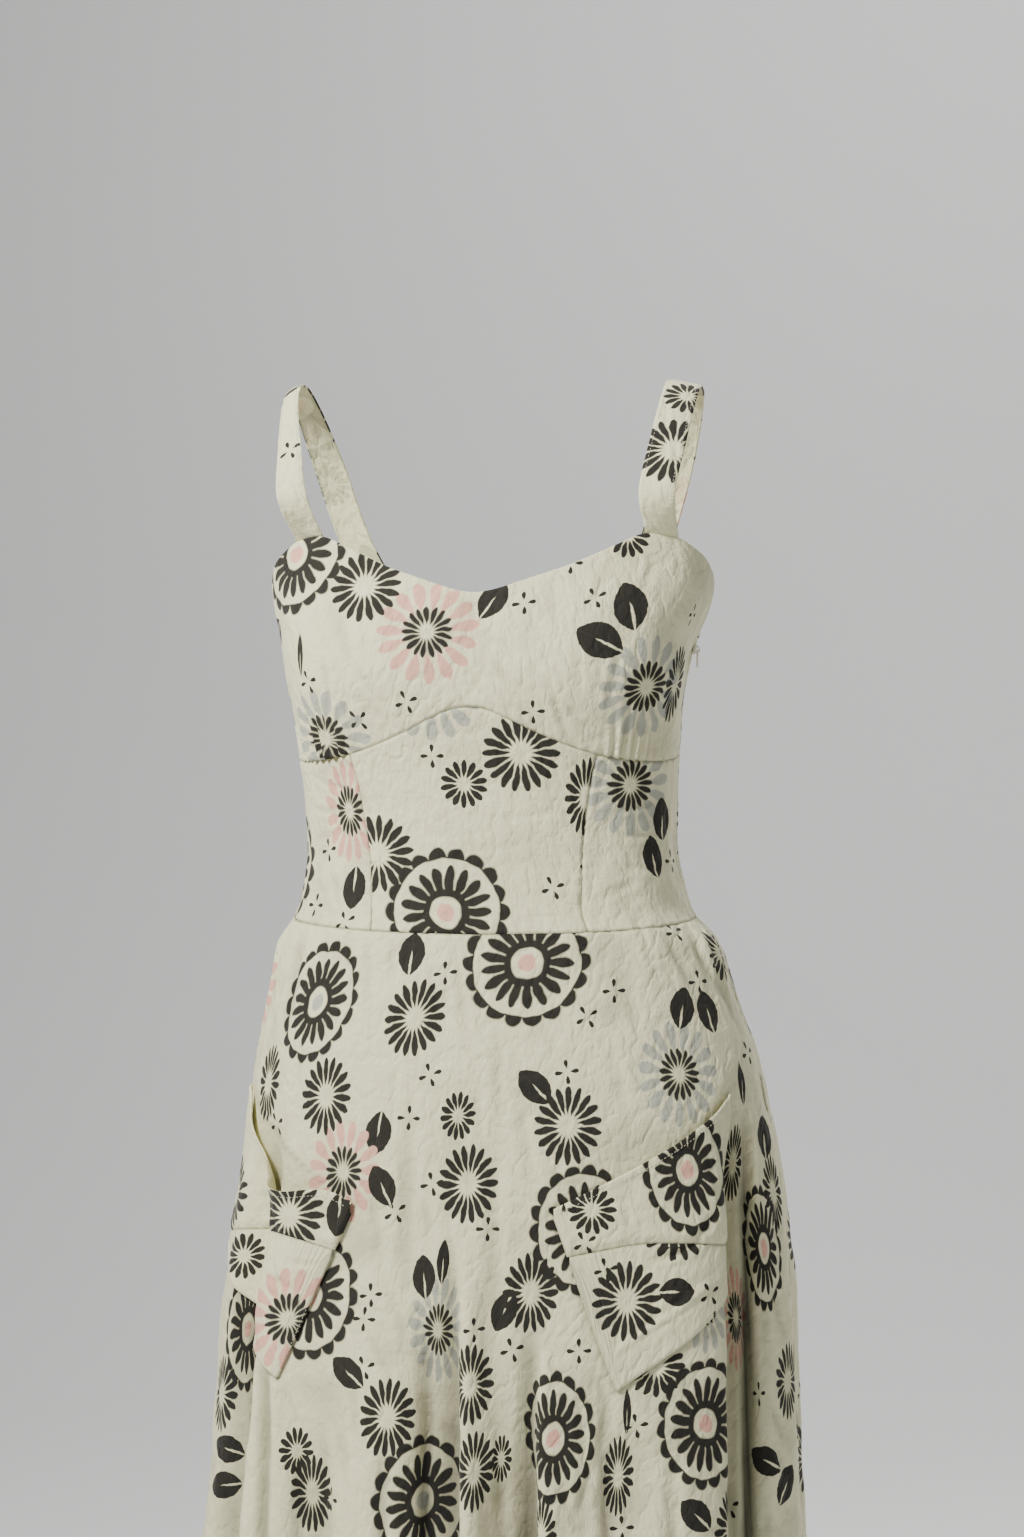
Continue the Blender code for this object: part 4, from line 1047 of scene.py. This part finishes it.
def place_print(panels):
    """Puts the listed motifs on the panels, and scatters others over what the picture hides."""
    chance = np.random.default_rng(PRINT_SEED)
    taken = []
    for panel in panels:
        for kind, x, y, turn, *squeeze in PRINT.get(panel.name, ()):
            row, column, left_x, left_y = panel.nearest(x, y)
            motif = Motif(kind, row, column, turn, left_x, left_y, chance.uniform(0.0, 9.0), *squeeze)
            panel.motifs.append(motif)
            taken.append((panel.points[row, column], motif.kind["radius"]))
    for panel in panels:
        hidden = np.argwhere(~panel.seen)
        if len(hidden) < FEWEST_HIDDEN:
            continue
        area = (panel.across[:, -1].mean() * panel.up[-1].mean()) * len(hidden) / panel.seen.size
        for kind, tries in SCATTERED:
            radius = KINDS[kind][0]
            for _ in range(int(tries * area / SCATTER_AREA) + 1):
                row, column = hidden[chance.integers(len(hidden))]
                here = panel.points[row, column]
                centres = np.array([place for place, _ in taken])
                room = np.array([other for _, other in taken]) * NEARNESS + radius * NEARNESS + PRINT_GAP
                if (np.linalg.norm(centres - here, axis=1) < room).any():
                    continue
                turn = chance.uniform(0.0, 360.0)
                panel.motifs.append(Motif(kind, row, column, turn, seed=chance.uniform(0.0, 9.0)))
                taken.append((here, radius))


def corners(values):
    """Values at the four corners of each face, from values at the points."""
    return np.stack([values[:-1, :-1], values[:-1, 1:], values[1:, 1:], values[1:, :-1]], 2)


def print_layers(panel):
    """Motif places at every point, and layers of motif numbers at every face."""
    rows, columns = panel.points.shape[:2]
    layers = [np.full((rows - 1, columns - 1), -1) for _ in range(LAYERS)]
    order = sorted(range(len(panel.motifs)), key=lambda n: -panel.motifs[n].kind["radius"])
    places = [motif.local(panel) for motif in panel.motifs]
    for number in order:
        motif, place = panel.motifs[number], places[number]
        reach = 1.06 + 2.5 / motif.kind["radius"]
        near = (np.linalg.norm(corners(place), axis=-1) < reach).any(-1)
        free = [layer for layer in layers if not (layer[near] >= 0).any()]
        if free:
            free[0][near] = number
    return layers, places


def mesh_from(name, work, smooth=True):
    """A mesh from a bmesh, which is freed."""
    mesh = bpy.data.meshes.new(name)
    work.to_mesh(mesh)
    work.free()
    mesh.polygons.foreach_set("use_smooth", np.full(len(mesh.polygons), smooth))
    return mesh


def in_scene(name, data):
    """A new object of the scene for a mesh, a light or the camera."""
    made = bpy.data.objects.new(name, data)
    bpy.context.collection.objects.link(made)
    return made


def dress_piece(name, mesh, finishes):
    """A mesh as a piece that goes with the dress, in its finishes."""
    for finish in finishes:
        mesh.materials.append(finish)
    made = in_scene(name, mesh)
    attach(made, "dress")
    return made


def cloth_mesh(panel):
    """The panel as a mesh, with its cloth lengths, its print and its painted shade."""
    rows, columns = panel.points.shape[:2]
    work = bmesh.new()
    bmesh.ops.create_grid(work, x_segments=columns - 1, y_segments=rows - 1, size=1.0)
    mesh = mesh_from(panel.name, work)
    flat = np.empty(len(mesh.vertices) * 3, np.float32)
    mesh.vertices.foreach_get("co", flat)
    flat = flat.reshape(-1, 3)
    column = np.rint((flat[:, 0] + 1.0) / 2.0 * (columns - 1)).astype(int)
    row = np.rint((flat[:, 1] + 1.0) / 2.0 * (rows - 1)).astype(int)
    mesh.vertices.foreach_set("co", (panel.points[row, column] * MM).astype(np.float32).ravel())
    vertex = np.empty(len(mesh.loops), np.int32)
    mesh.loops.foreach_get("vertex_index", vertex)
    loop_row, loop_column = row[vertex], column[vertex]
    face_row = loop_row.reshape(-1, 4).min(1)
    face_column = loop_column.reshape(-1, 4).min(1)
    cloth = np.stack([panel.cloth_x, panel.up], -1) * MM
    fill_uv(mesh, "cloth", cloth[loop_row, loop_column])
    # The painted shade, a point attribute that darkens the cloth's colour
    shade = mesh.attributes.new("shade", "FLOAT", "POINT")
    shade.data.foreach_set("value", panel.shade[row, column].astype(np.float32))
    layers, places = print_layers(panel)
    for number, layer in enumerate(layers, 1):
        motif_of_face = layer[face_row, face_column]
        motif_of_loop = np.repeat(motif_of_face, 4)
        place = np.full((len(vertex), 2), 9.0)
        facts = {name: np.zeros((len(motif_of_face), 3)) for name in ("petals", "heart", "trim", "tone")}
        for index, motif in enumerate(panel.motifs):
            on_loop = motif_of_loop == index
            place[on_loop] = places[index][loop_row[on_loop], loop_column[on_loop]]
            on_face = motif_of_face == index
            for name in ("petals", "heart", "trim"):
                facts[name][on_face] = motif.kind[name]
            facts["tone"][on_face] = (motif.kind["tint"], motif.kind["half_width"], motif.seed)
        fill_uv(mesh, f"print_{number}", place)
        for name, values in facts.items():
            attribute = mesh.attributes.new(f"{name}_{number}", "FLOAT_VECTOR", "FACE")
            attribute.data.foreach_set("vector", values.astype(np.float32).ravel())
    mesh.update()
    return mesh


def fill_uv(mesh, name, values):
    """Adds a UV map with a value for each corner."""
    layer = mesh.uv_layers.new(name=name)
    layer.uv.foreach_set("vector", values.astype(np.float32).ravel())


class Nodes:
    """Short ways to add nodes to one node tree."""

    def __init__(self, tree):
        self.tree = tree

    def put(self, socket, value):
        if isinstance(value, bpy.types.NodeSocket):
            self.tree.links.new(value, socket)
        elif value is not None:
            socket.default_value = value

    def add(self, kind, inputs=(), **settings):
        node = self.tree.nodes.new(kind)
        for name, value in settings.items():
            setattr(node, name, value)
        for name, value in dict(inputs).items():
            self.put(node.inputs[name], value)
        return node

    def math(self, operation, first, second=None, third=None, clamp=False):
        node = self.tree.nodes.new("ShaderNodeMath")
        node.operation, node.use_clamp = operation, clamp
        for socket, value in zip(node.inputs, (first, second, third)):
            self.put(socket, value)
        return node.outputs[0]

    def plus(self, first, second):
        return self.math("ADD", first, second)

    def minus(self, first, second):
        return self.math("SUBTRACT", first, second)

    def times(self, first, second, clamp=False):
        return self.math("MULTIPLY", first, second, clamp=clamp)

    def above(self, first, second):
        return self.math("GREATER_THAN", first, second)

    def mix(self, mask, first, second):
        node = self.add("ShaderNodeMix", data_type="RGBA")
        self.put(node.inputs[0], mask)
        self.put(node.inputs[6], first)
        self.put(node.inputs[7], second)
        return node.outputs[2]

    def split(self, vector):
        return self.add("ShaderNodeSeparateXYZ", {"Vector": vector}).outputs

    def vector(self, operation, first, second=None, scale=None):
        node = self.tree.nodes.new("ShaderNodeVectorMath")
        node.operation = operation
        for socket, value in ((0, first), (1, second), ("Scale", scale)):
            if value is not None:
                self.put(node.inputs[socket], value)
        return node.outputs[0]

    def noise(self, place, scale, detail=2.0, roughness=0.5):
        return self.add("ShaderNodeTexNoise", {
            "Vector": place, "Scale": scale, "Detail": detail, "Roughness": roughness,
        }).outputs[0]

    def length(self, x, y):
        return self.math("SQRT", self.plus(self.times(x, x), self.times(y, y)))

    def within(self, reach, distance, sharpness=32.0):
        """A mask with a soft edge of what lies within reach."""
        return self.math("MULTIPLY_ADD", self.minus(reach, distance), sharpness, 0.5, clamp=True)

    def in_sector(self, x, y, radius, sector):
        """How far a place lies along and across the middle of its sector of a circle."""
        angle = self.math("ARCTAN2", y, x)
        whole = self.math("ROUND", self.math("DIVIDE", angle, sector))
        turned = self.minus(angle, self.times(whole, sector))
        along = self.times(radius, self.math("COSINE", turned))
        return along, self.times(radius, self.math("SINE", turned))

    def slope(self, shader, height, strength, distance):
        """Gives a shader the bumps of a height."""
        bump = self.add("ShaderNodeBump", {
            "Height": height, "Strength": strength, "Distance": distance,
        })
        self.put(shader.inputs["Normal"], bump.outputs[0])


def group(name, inputs, outputs):
    """A new node group with its ends, as nodes, inputs and output node."""
    tree = bpy.data.node_groups.new(name, "ShaderNodeTree")
    for label, kind in inputs:
        tree.interface.new_socket(name=label, in_out="INPUT", socket_type=f"NodeSocket{kind}")
    for label, kind in outputs:
        tree.interface.new_socket(name=label, in_out="OUTPUT", socket_type=f"NodeSocket{kind}")
    nodes = Nodes(tree)
    return nodes, nodes.add("NodeGroupInput").outputs, nodes.add("NodeGroupOutput")


def paint(red, green, blue):
    """A colour as it looks on a screen, 0 to 255, as the linear one that shaders use."""
    parts = [value / 255.0 for value in (red, green, blue)]
    return (*[p / 12.92 if p <= 0.04045 else ((p + 0.055) / 1.055) ** 2.4 for p in parts], 1.0)


CREAM = paint(240, 236, 195)
INK = paint(47, 45, 39)
PINK = paint(237, 184, 160)
GREY = paint(189, 190, 172)
TAU = 2.0 * math.pi

# Sizes within a motif, in parts of its radius
HEART_HALF_WIDTH = 0.068
SPOT_RADIUS = 0.14
RIM_HALF_WIDTH = 0.016
SCALLOPS = 18.0
SCALLOP_RADIUS = 0.148


def petal_ring_group():
    """A ring of petals as a mask; a count of one makes a single pointed leaf."""
    nodes, given, result = group("petal_ring", (
        ("Place", "Vector"), ("Count", "Float"), ("Inner", "Float"), ("Outer", "Float"),
        ("Half Width", "Float"),
    ), (("Mask", "Float"),))
    x, y, _ = nodes.split(given["Place"])
    sector = nodes.math("DIVIDE", TAU, nodes.math("MAXIMUM", given["Count"], 1.0))
    along, across = nodes.in_sector(x, y, nodes.length(x, y), sector)
    length = nodes.math("MAXIMUM", nodes.minus(given["Outer"], given["Inner"]), 0.01)
    part = nodes.math("DIVIDE", nodes.minus(along, given["Inner"]), length, clamp=True)
    many = nodes.above(given["Count"], 1.5)
    part = nodes.math("POWER", part, nodes.math("MULTIPLY_ADD", many, 0.7, 1.0))
    bulge = nodes.times(nodes.times(part, nodes.minus(1.0, part)), 4.0)
    bulge = nodes.math("POWER", bulge, nodes.math("MULTIPLY_ADD", many, -0.3, 0.8))
    edge = nodes.math("MULTIPLY_ADD", bulge, given["Half Width"], -0.012)
    mask = nodes.within(edge, nodes.math("ABSOLUTE", across))
    nodes.put(result.inputs["Mask"], nodes.times(mask, nodes.above(given["Count"], 0.5)))
    return nodes.tree


def flower_group(petal_ring):
    """One printed motif over the cloth's colour, drawn from its numbers."""
    nodes, given, result = group("flower_motif", (
        ("Cloth", "Color"), ("Place", "Vector"), ("Petals", "Vector"), ("Heart", "Vector"),
        ("Trim", "Vector"), ("Tone", "Vector"), ("Ink", "Color"), ("Pink", "Color"),
        ("Grey", "Color"), ("Ground", "Color"),
    ), (("Cloth", "Color"),))
    tint, half_width, seed = nodes.split(given["Tone"])
    shift = nodes.add("ShaderNodeCombineXYZ", {"X": seed, "Y": 0.0, "Z": seed}).outputs[0]
    wobble = nodes.add("ShaderNodeTexNoise", {
        "Vector": nodes.vector("ADD", given["Place"], shift), "Scale": 3.6, "Detail": 1.0,
    }).outputs[1]
    wobble = nodes.vector("SCALE", nodes.vector("SUBTRACT", wobble, (0.5, 0.5, 0.5)), scale=0.10)
    place = nodes.vector("ADD", given["Place"], wobble)
    x, y, _ = nodes.split(place)
    radius = nodes.length(x, y)
    masks = []
    for name, width in (("Petals", half_width), ("Heart", HEART_HALF_WIDTH)):
        count, inner, outer = nodes.split(given[name])
        ring = nodes.add("ShaderNodeGroup", node_tree=petal_ring)
        for socket, value in zip(ring.inputs, (place, count, inner, outer, width)):
            nodes.put(socket, value)
        masks.append((ring.outputs["Mask"], count))
    (petals, _), (heart, heart_count) = masks
    core, centre, rim = nodes.split(given["Trim"])
    has_rim = nodes.above(rim, 0.1)
    tint_colour = nodes.mix(nodes.above(tint, 1.5), given["Pink"], given["Grey"])
    tinted = nodes.times(nodes.above(tint, 0.5), nodes.minus(1.0, has_rim))
    colour = nodes.mix(petals, given["Cloth"], nodes.mix(tinted, given["Ink"], tint_colour))
    slit = nodes.math("LESS_THAN", heart_count, 1.5)
    colour = nodes.mix(heart, colour, nodes.mix(slit, given["Ink"], given["Ground"]))

    def disc(size):
        return nodes.times(nodes.within(size, radius), nodes.above(size, 0.01))

    colour = nodes.mix(disc(core), colour, given["Ink"])
    colour = nodes.mix(disc(centre), colour, given["Ground"])
    colour = nodes.mix(nodes.times(disc(SPOT_RADIUS), has_rim), colour, tint_colour)
    away = nodes.math("ABSOLUTE", nodes.minus(radius, rim))
    line = nodes.within(RIM_HALF_WIDTH, away, 40.0)
    ahead, aside = nodes.in_sector(x, y, radius, TAU / SCALLOPS)
    from_middle = nodes.length(aside, nodes.minus(ahead, rim))
    scallop = nodes.times(nodes.within(SCALLOP_RADIUS, from_middle), nodes.above(radius, rim))
    edging = nodes.times(nodes.math("MAXIMUM", line, scallop), has_rim)
    nodes.put(result.inputs["Cloth"], nodes.mix(edging, colour, given["Ink"]))
    return nodes.tree


def cotton_group():
    """Washed cotton: an uneven ground colour darkened by the painted shade, and a height of threads and
    fine creases.
    """
    nodes, given, result = group("washed_cotton", (
        ("Lengths", "Vector"), ("Colour", "Color"), ("Shade", "Float"),
    ), (("Colour", "Color"), ("Height", "Float")))
    # Scales are counts in a metre of cloth
    place = given["Lengths"]
    mottle = nodes.noise(place, 55.0, 3.0)
    slub = nodes.noise(nodes.vector("MULTIPLY", place, (900.0, 70.0, 1.0)), 1.0, 1.0)
    weft = nodes.noise(nodes.vector("MULTIPLY", place, (70.0, 900.0, 1.0)), 1.0, 1.0)
    threads = nodes.times(nodes.plus(slub, weft), 0.5)
    shade = nodes.math("MULTIPLY_ADD", nodes.plus(mottle, threads), 0.16, 0.84)
    # The painted shade of creases, seams, folds and the pocket darkens the colour here
    shade = nodes.times(shade, nodes.minus(1.0, given["Shade"]))
    nodes.put(result.inputs["Colour"], nodes.vector("SCALE", given["Colour"], scale=shade))
    creases = nodes.noise(nodes.vector("MULTIPLY", place, (250.0, 130.0, 1.0)), 1.0, 4.0, 0.62)
    creases = nodes.math("ABSOLUTE", nodes.minus(creases, 0.5))
    soft = nodes.noise(place, 95.0, 3.0, 0.6)
    height = nodes.math("MULTIPLY_ADD", creases, -0.9, nodes.times(soft, 0.55))
    height = nodes.math("MULTIPLY_ADD", threads, 0.28, height)
    folded = nodes.noise(nodes.vector("MULTIPLY", place, (62.0, 40.0, 1.0)), 1.0, 2.0, 0.5)
    folded = nodes.math("ABSOLUTE", nodes.minus(folded, 0.5))
    folded = nodes.times(folded, 9.0, clamp=True)
    height = nodes.math("MULTIPLY_ADD", folded, 0.55, height)
    nodes.put(result.inputs["Height"], height)
    return nodes.tree


def material(name):
    """A new node material, with its nodes and its shader."""
    made = bpy.data.materials.new(name)
    made.use_nodes = True
    nodes = Nodes(made.node_tree)
    return made, nodes, made.node_tree.nodes["Principled BSDF"]


def printed_cloth(name, flower, cotton, faded):
    """The printed cotton: its face, or its paler reverse when faded is more than 0."""
    made, nodes, shader = material(name)
    colour = CREAM
    tones = {"Ink": INK, "Pink": PINK, "Grey": GREY}
    for number in range(1, LAYERS + 1):
        motif = nodes.add("ShaderNodeGroup", node_tree=flower)
        nodes.put(motif.inputs["Cloth"], colour)
        place = nodes.add("ShaderNodeUVMap", uv_map=f"print_{number}").outputs[0]
        nodes.put(motif.inputs["Place"], place)
        for label in ("Petals", "Heart", "Trim", "Tone"):
            facts = nodes.add("ShaderNodeAttribute", attribute_name=f"{label.lower()}_{number}")
            nodes.put(motif.inputs[label], facts.outputs["Vector"])
        for label, tone in tones.items():
            faint = tuple(t * (1.0 - faded) + c * faded for t, c in zip(tone, CREAM))
            nodes.put(motif.inputs[label], faint)
        nodes.put(motif.inputs["Ground"], CREAM)
        colour = motif.outputs["Cloth"]
    cloth = nodes.add("ShaderNodeGroup", node_tree=cotton)
    nodes.put(cloth.inputs["Lengths"], nodes.add("ShaderNodeUVMap", uv_map="cloth").outputs[0])
    nodes.put(cloth.inputs["Colour"], colour)
    # Painted shade, read from each point of the cloth
    shade = nodes.add("ShaderNodeAttribute", attribute_name="shade")
    nodes.put(cloth.inputs["Shade"], shade.outputs["Fac"])
    nodes.put(shader.inputs["Base Color"], cloth.outputs["Colour"])
    nodes.slope(shader, cloth.outputs["Height"], 0.85, 0.0014)
    shader.inputs["Roughness"].default_value = 0.88
    shader.inputs["Specular IOR Level"].default_value = 0.22
    shader.inputs["Sheen Weight"].default_value = 0.12
    shader.inputs["Sheen Roughness"].default_value = 0.5
    return made


def plain_material(name, colour, roughness, grain, grain_scale, specular=0.3):
    """A material of one colour with a fine grain on it."""
    made, nodes, shader = material(name)
    place = nodes.add("ShaderNodeTexCoord").outputs["Object"]
    grain_value = nodes.noise(place, grain_scale, 3.0)
    shade = nodes.math("MULTIPLY_ADD", grain_value, grain, 1.0 - grain / 2.0)
    nodes.put(shader.inputs["Base Color"], nodes.vector("SCALE", colour[:3], scale=shade))
    nodes.slope(shader, grain_value, 0.2, 0.0002)
    shader.inputs["Roughness"].default_value = roughness
    shader.inputs["Specular IOR Level"].default_value = specular
    return made


def stitched(name, paths, thread, pitch=3.0, length=2.1, radius=0.24):
    """Small stitches along lines: each line is its points and the directions out of the cloth."""
    work = bmesh.new()
    for points, out in paths:
        run = np.linalg.norm(np.diff(points, axis=0), axis=1)
        total = np.concatenate([[0.0], np.cumsum(run)])
        for start in np.arange(pitch, total[-1] - pitch, pitch):
            ends = [np.array([np.interp(start + half, total, points[:, axis]) for axis in range(3)])
                    for half in (-length / 2.0, length / 2.0)]
            normal = np.array([np.interp(start, total, out[:, axis]) for axis in range(3)])
            along = Vector(ends[1] - ends[0]).normalized()
            aside = Vector(normal).cross(along).normalized()
            above = along.cross(aside)
            turned = Matrix((along, aside, above)).transposed().to_4x4()
            middle = Vector((ends[0] + ends[1]) / 2.0 * MM)
            size = Matrix.Diagonal((length / 2.0 * MM, radius * MM, radius * MM, 1.0))
            matrix = Matrix.Translation(middle) @ turned @ size
            bmesh.ops.create_icosphere(work, subdivisions=1, radius=1.0, matrix=matrix)
    return dress_piece(name, mesh_from(name, work), (thread,))


def line_on(panel, side, distance, start, end, lift=0.12):
    """A line on a panel at a distance in from its head, foot, left or right side."""
    points, out = panel.points, panel.out
    lengths = panel.up if side in ("head", "foot") else panel.across
    if side in ("left", "right"):
        points, out, lengths = points.swapaxes(0, 1), out.swapaxes(0, 1), lengths.T
    line, away = [], []
    for column in range(points.shape[1]):
        reach = lengths[:, column]
        at = distance if side in ("foot", "left") else reach[-1] - distance
        if reach[-1] < 2.0 * distance:
            continue
        line.append([np.interp(at, reach, points[:, column, axis]) for axis in range(3)])
        away.append([np.interp(at, reach, out[:, column, axis]) for axis in range(3)])
    kept = slice(int(start * len(line)), int(end * len(line)))
    line, away = np.array(line[kept]), np.array(away[kept])
    return line + away * lift, away


def cloth_object(panel, face, reverse):
    """The panel as a finished piece of cloth."""
    made = dress_piece(panel.name, cloth_mesh(panel), (face, reverse))
    wall = made.modifiers.new("wall", "SOLIDIFY")
    wall.thickness = panel.wall * MM
    wall.offset = -1.0
    wall.material_offset = 1
    wall.material_offset_rim = 0
    return made


def zip_line():
    """Middle line of the zip in the left side seam, with its outward directions."""
    heights = np.linspace(*ZIP_ENDS, ZIP_TEETH)
    turn = np.full_like(heights, 90.0)
    bodice = plain_point(turn, np.maximum(heights, WAIST_AT_SIDE))
    skirt = skirt_point(turn, np.minimum(heights, WAIST_AT_SIDE))
    points = np.where((heights > WAIST_AT_SIDE)[:, None], bodice, skirt)
    return points, np.tile([1.0, 0.0, 0.0], (len(heights), 1))


def zip_pieces(tape, enamel):
    """The zip's tape behind the seam and its row of teeth."""
    line, out = zip_line()
    work = bmesh.new()
    size = Matrix.Diagonal((*[half * MM for half in TOOTH], 1.0))
    for place, direction in zip(line, out):
        matrix = Matrix.Translation(Vector(place - direction * TOOTH_DEPTH) * MM) @ size
        bmesh.ops.create_icosphere(work, subdivisions=1, radius=1.0, matrix=matrix)
    teeth = mesh_from("zip_teeth", work, smooth=False)
    teeth = dress_piece("zip_teeth", teeth, (enamel,))
    across = np.linspace(-TAPE_HALF_WIDTH, TAPE_HALF_WIDTH, 7)
    points = [line[::-1] + np.array([-TAPE_BEHIND - 0.012 * y * y, y, 0.0]) for y in across]
    points = np.stack(points, 1)
    out = np.tile([1.0, 0.0, 0.0], (*points.shape[:2], 1))
    tape_panel = Panel("zip_tape", points, out, TAPE_CLOTH)
    made = cloth_object(tape_panel, tape, tape)
    return tape_panel, made, teeth


def light(name, place, aim, energy, size, colour):
    """A soft light that shines from a place towards a point, in metres."""
    lamp = bpy.data.lights.new(name, "AREA")
    lamp.energy = energy
    lamp.color = colour
    lamp.shape = "RECTANGLE"
    lamp.size, lamp.size_y = size
    made = in_scene(name, lamp)
    made.location = place
    made.rotation_euler = (Vector(aim) - Vector(place)).to_track_quat("-Z", "Y").to_euler()


# Backdrop, in metres: half width, length, front end and height of the floor, how far back it
# bends up, and the bend's radius
BACKDROP_HALF_WIDTH = 9.0
BACKDROP_LENGTH = 13.0
BACKDROP_FRONT = -6.0
FLOOR = -1.42
BEND_START = 3.0
BEND = 1.6


def studio():
    """A pale floor that curves up into a pale backdrop, and soft light."""
    work = bmesh.new()
    bmesh.ops.create_grid(work, x_segments=8, y_segments=48, size=1.0)
    for vertex in work.verts:
        run = (vertex.co.y + 1.0) / 2.0 * BACKDROP_LENGTH + BACKDROP_FRONT
        angle = min(max((run - BEND_START) / BEND, 0.0), math.pi / 2.0)
        climb = max(run - BEND_START - BEND * math.pi / 2.0, 0.0)
        y = min(run, BEND_START) + BEND * math.sin(angle)
        height = FLOOR + BEND * (1.0 - math.cos(angle)) + climb
        vertex.co = (vertex.co.x * BACKDROP_HALF_WIDTH, y, height)
    mesh = mesh_from("backdrop", work)
    mesh.materials.append(plain_material("backdrop_paper", paint(236, 236, 235), 0.9, 0.02, 3.0, 0.1))
    in_scene("backdrop", mesh)
    world = bpy.data.worlds.new("pale_room")
    world.use_nodes = True
    ground = world.node_tree.nodes["Background"]
    ground.inputs["Color"].default_value = (0.95, 0.96, 1.0, 1.0)
    ground.inputs["Strength"].default_value = 0.15
    bpy.context.scene.world = world
    light("key", (-1.05, -1.4, 1.05), (0.0, 0.0, -0.35), 84.0, (0.45, 0.45), (1.0, 0.985, 0.95))
    light("fill", (2.4, -2.4, 0.6), (0.0, 0.0, -0.4), 15.0, (1.6, 1.6), (0.97, 0.985, 1.0))
    light("wall", (0.5, 2.2, 2.6), (0.0, 3.5, -0.6), 80.0, (3.0, 1.5), (1.0, 1.0, 1.0))
    light("back", (1.3, 2.3, 1.0), (0.0, 0.0, -0.5), 38.0, (1.2, 1.2), (1.0, 0.99, 0.97))


def camera():
    """The camera of the picture."""
    lens = bpy.data.cameras.new("camera")
    lens.sensor_fit = "VERTICAL"
    lens.sensor_height = 36.0
    lens.lens = CAMERA["focal_pixels"] * lens.sensor_height / CAMERA["picture"][1]
    made = in_scene("camera", lens)
    made.location = Vector(CAMERA_PLACE * MM)
    made.rotation_euler = (math.radians(90.0), 0.0, CAMERA_TURN)
    bpy.context.scene.camera = made


STRAPS = ("strap_left_cloth", "strap_right_cloth")
MIDRIFF = ("midriff_front_cloth", "midriff_left_cloth", "midriff_right_cloth")

# Panel, CAD node, how it is held, and what holds it
PIECES = (
    (bust_cloth(), "bust_front", "gathered", STRAPS),
    (midriff_cloth("midriff_front_cloth", 0, 17), "midriff_front", "hung", ("bust_cloth",)),
    (midriff_cloth("midriff_left_cloth", 1, 19), "midriff_side_left", "hung", ("bust_cloth",)),
    (midriff_cloth("midriff_right_cloth", -1, 23), "midriff_side_right", "hung", ("bust_cloth",)),
    (bodice_back_cloth(), "bodice_back", "hung", STRAPS),
    (skirt_cloth("skirt_front_cloth", -90.0, SKIRT_FRONT_GRID, 41), "skirt_front", "hung", MIDRIFF),
    (skirt_cloth("skirt_back_cloth", 90.0, SKIRT_BACK_GRID, 43), "skirt_back", "hung",
     ("bodice_back_cloth",)),
    (pocket_cloth("bag", "left", 51), "pocket_bag_left", "laid", ("skirt_front_cloth",)),
    (pocket_cloth("bag", "right", 53), "pocket_bag_right", "laid", ("skirt_front_cloth",)),
    (pocket_cloth("band", "left", 57), "pocket_band_left", "laid", ("skirt_front_cloth",)),
    (pocket_cloth("band", "right", 59), "pocket_band_right", "laid", ("skirt_front_cloth",)),
    (strap_cloth("strap_left_cloth", 1.0, STRAP_LEFT, 61), "strap_left", "draped", ()),
    (strap_cloth("strap_right_cloth", -1.0, STRAP_RIGHT, 67), "strap_right", "draped", ()),
)
panels = {panel.name: panel for panel, _, _, _ in PIECES}

place_print(panels.values())
flower = flower_group(petal_ring_group())
cotton = cotton_group()
face_cloth = printed_cloth("printed_cotton_face", flower, cotton, 0.0)
reverse_cloth = printed_cloth("printed_cotton_reverse", flower, cotton, 0.72)
thread = plain_material("cream_thread", paint(222, 217, 196), 0.75, 0.2, 900.0)
tape = plain_material("zip_tape", paint(214, 208, 186), 0.85, 0.2, 700.0)
enamel = plain_material("cream_enamel", paint(224, 219, 198), 0.32, 0.06, 400.0, 0.5)

pieces = {name: cloth_object(panel, face_cloth, reverse_cloth) for name, panel in panels.items()}

# Stitching on each panel: its lines as side, distance in, start and end
MOUTH_LINE = (("head", 5.2, 0.02, 0.98),)
BAG_LINE = (("foot", 3.4, 0.03, 0.97),)
STRAP_LINES = (("left", 3.0, 0.02, 0.98), ("right", 3.0, 0.02, 0.98))
HEM_LINE = (("foot", 20.0, 0.0, 1.0),)
STITCHES = {
    "bodice_back_cloth": (("left", 5.5, 0.0, 1.0),),
    "pocket_band_left_cloth": MOUTH_LINE,
    "pocket_band_right_cloth": MOUTH_LINE,
    "pocket_bag_left_cloth": BAG_LINE,
    "pocket_bag_right_cloth": BAG_LINE,
    "strap_left_cloth": STRAP_LINES,
    "strap_right_cloth": STRAP_LINES,
    "skirt_front_cloth": HEM_LINE,
    "skirt_back_cloth": HEM_LINE,
    "midriff_left_cloth": (("right", 5.5, 0.0, 1.0),),
}
for name, lines in STITCHES.items():
    paths = [line_on(panels[name], *line) for line in lines]
    stitched(name.replace("_cloth", "_stitches"), paths, thread)

tape_panel, tape_piece, zip_teeth = zip_pieces(tape, enamel)

for panel, node, held, rests_on in PIECES:
    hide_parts(node)

for name in ("zip_slider", "zip_pull"):
    node = bpy.data.objects[name]
    node.data.materials.clear()
    node.data.materials.append(enamel)

studio()
camera()
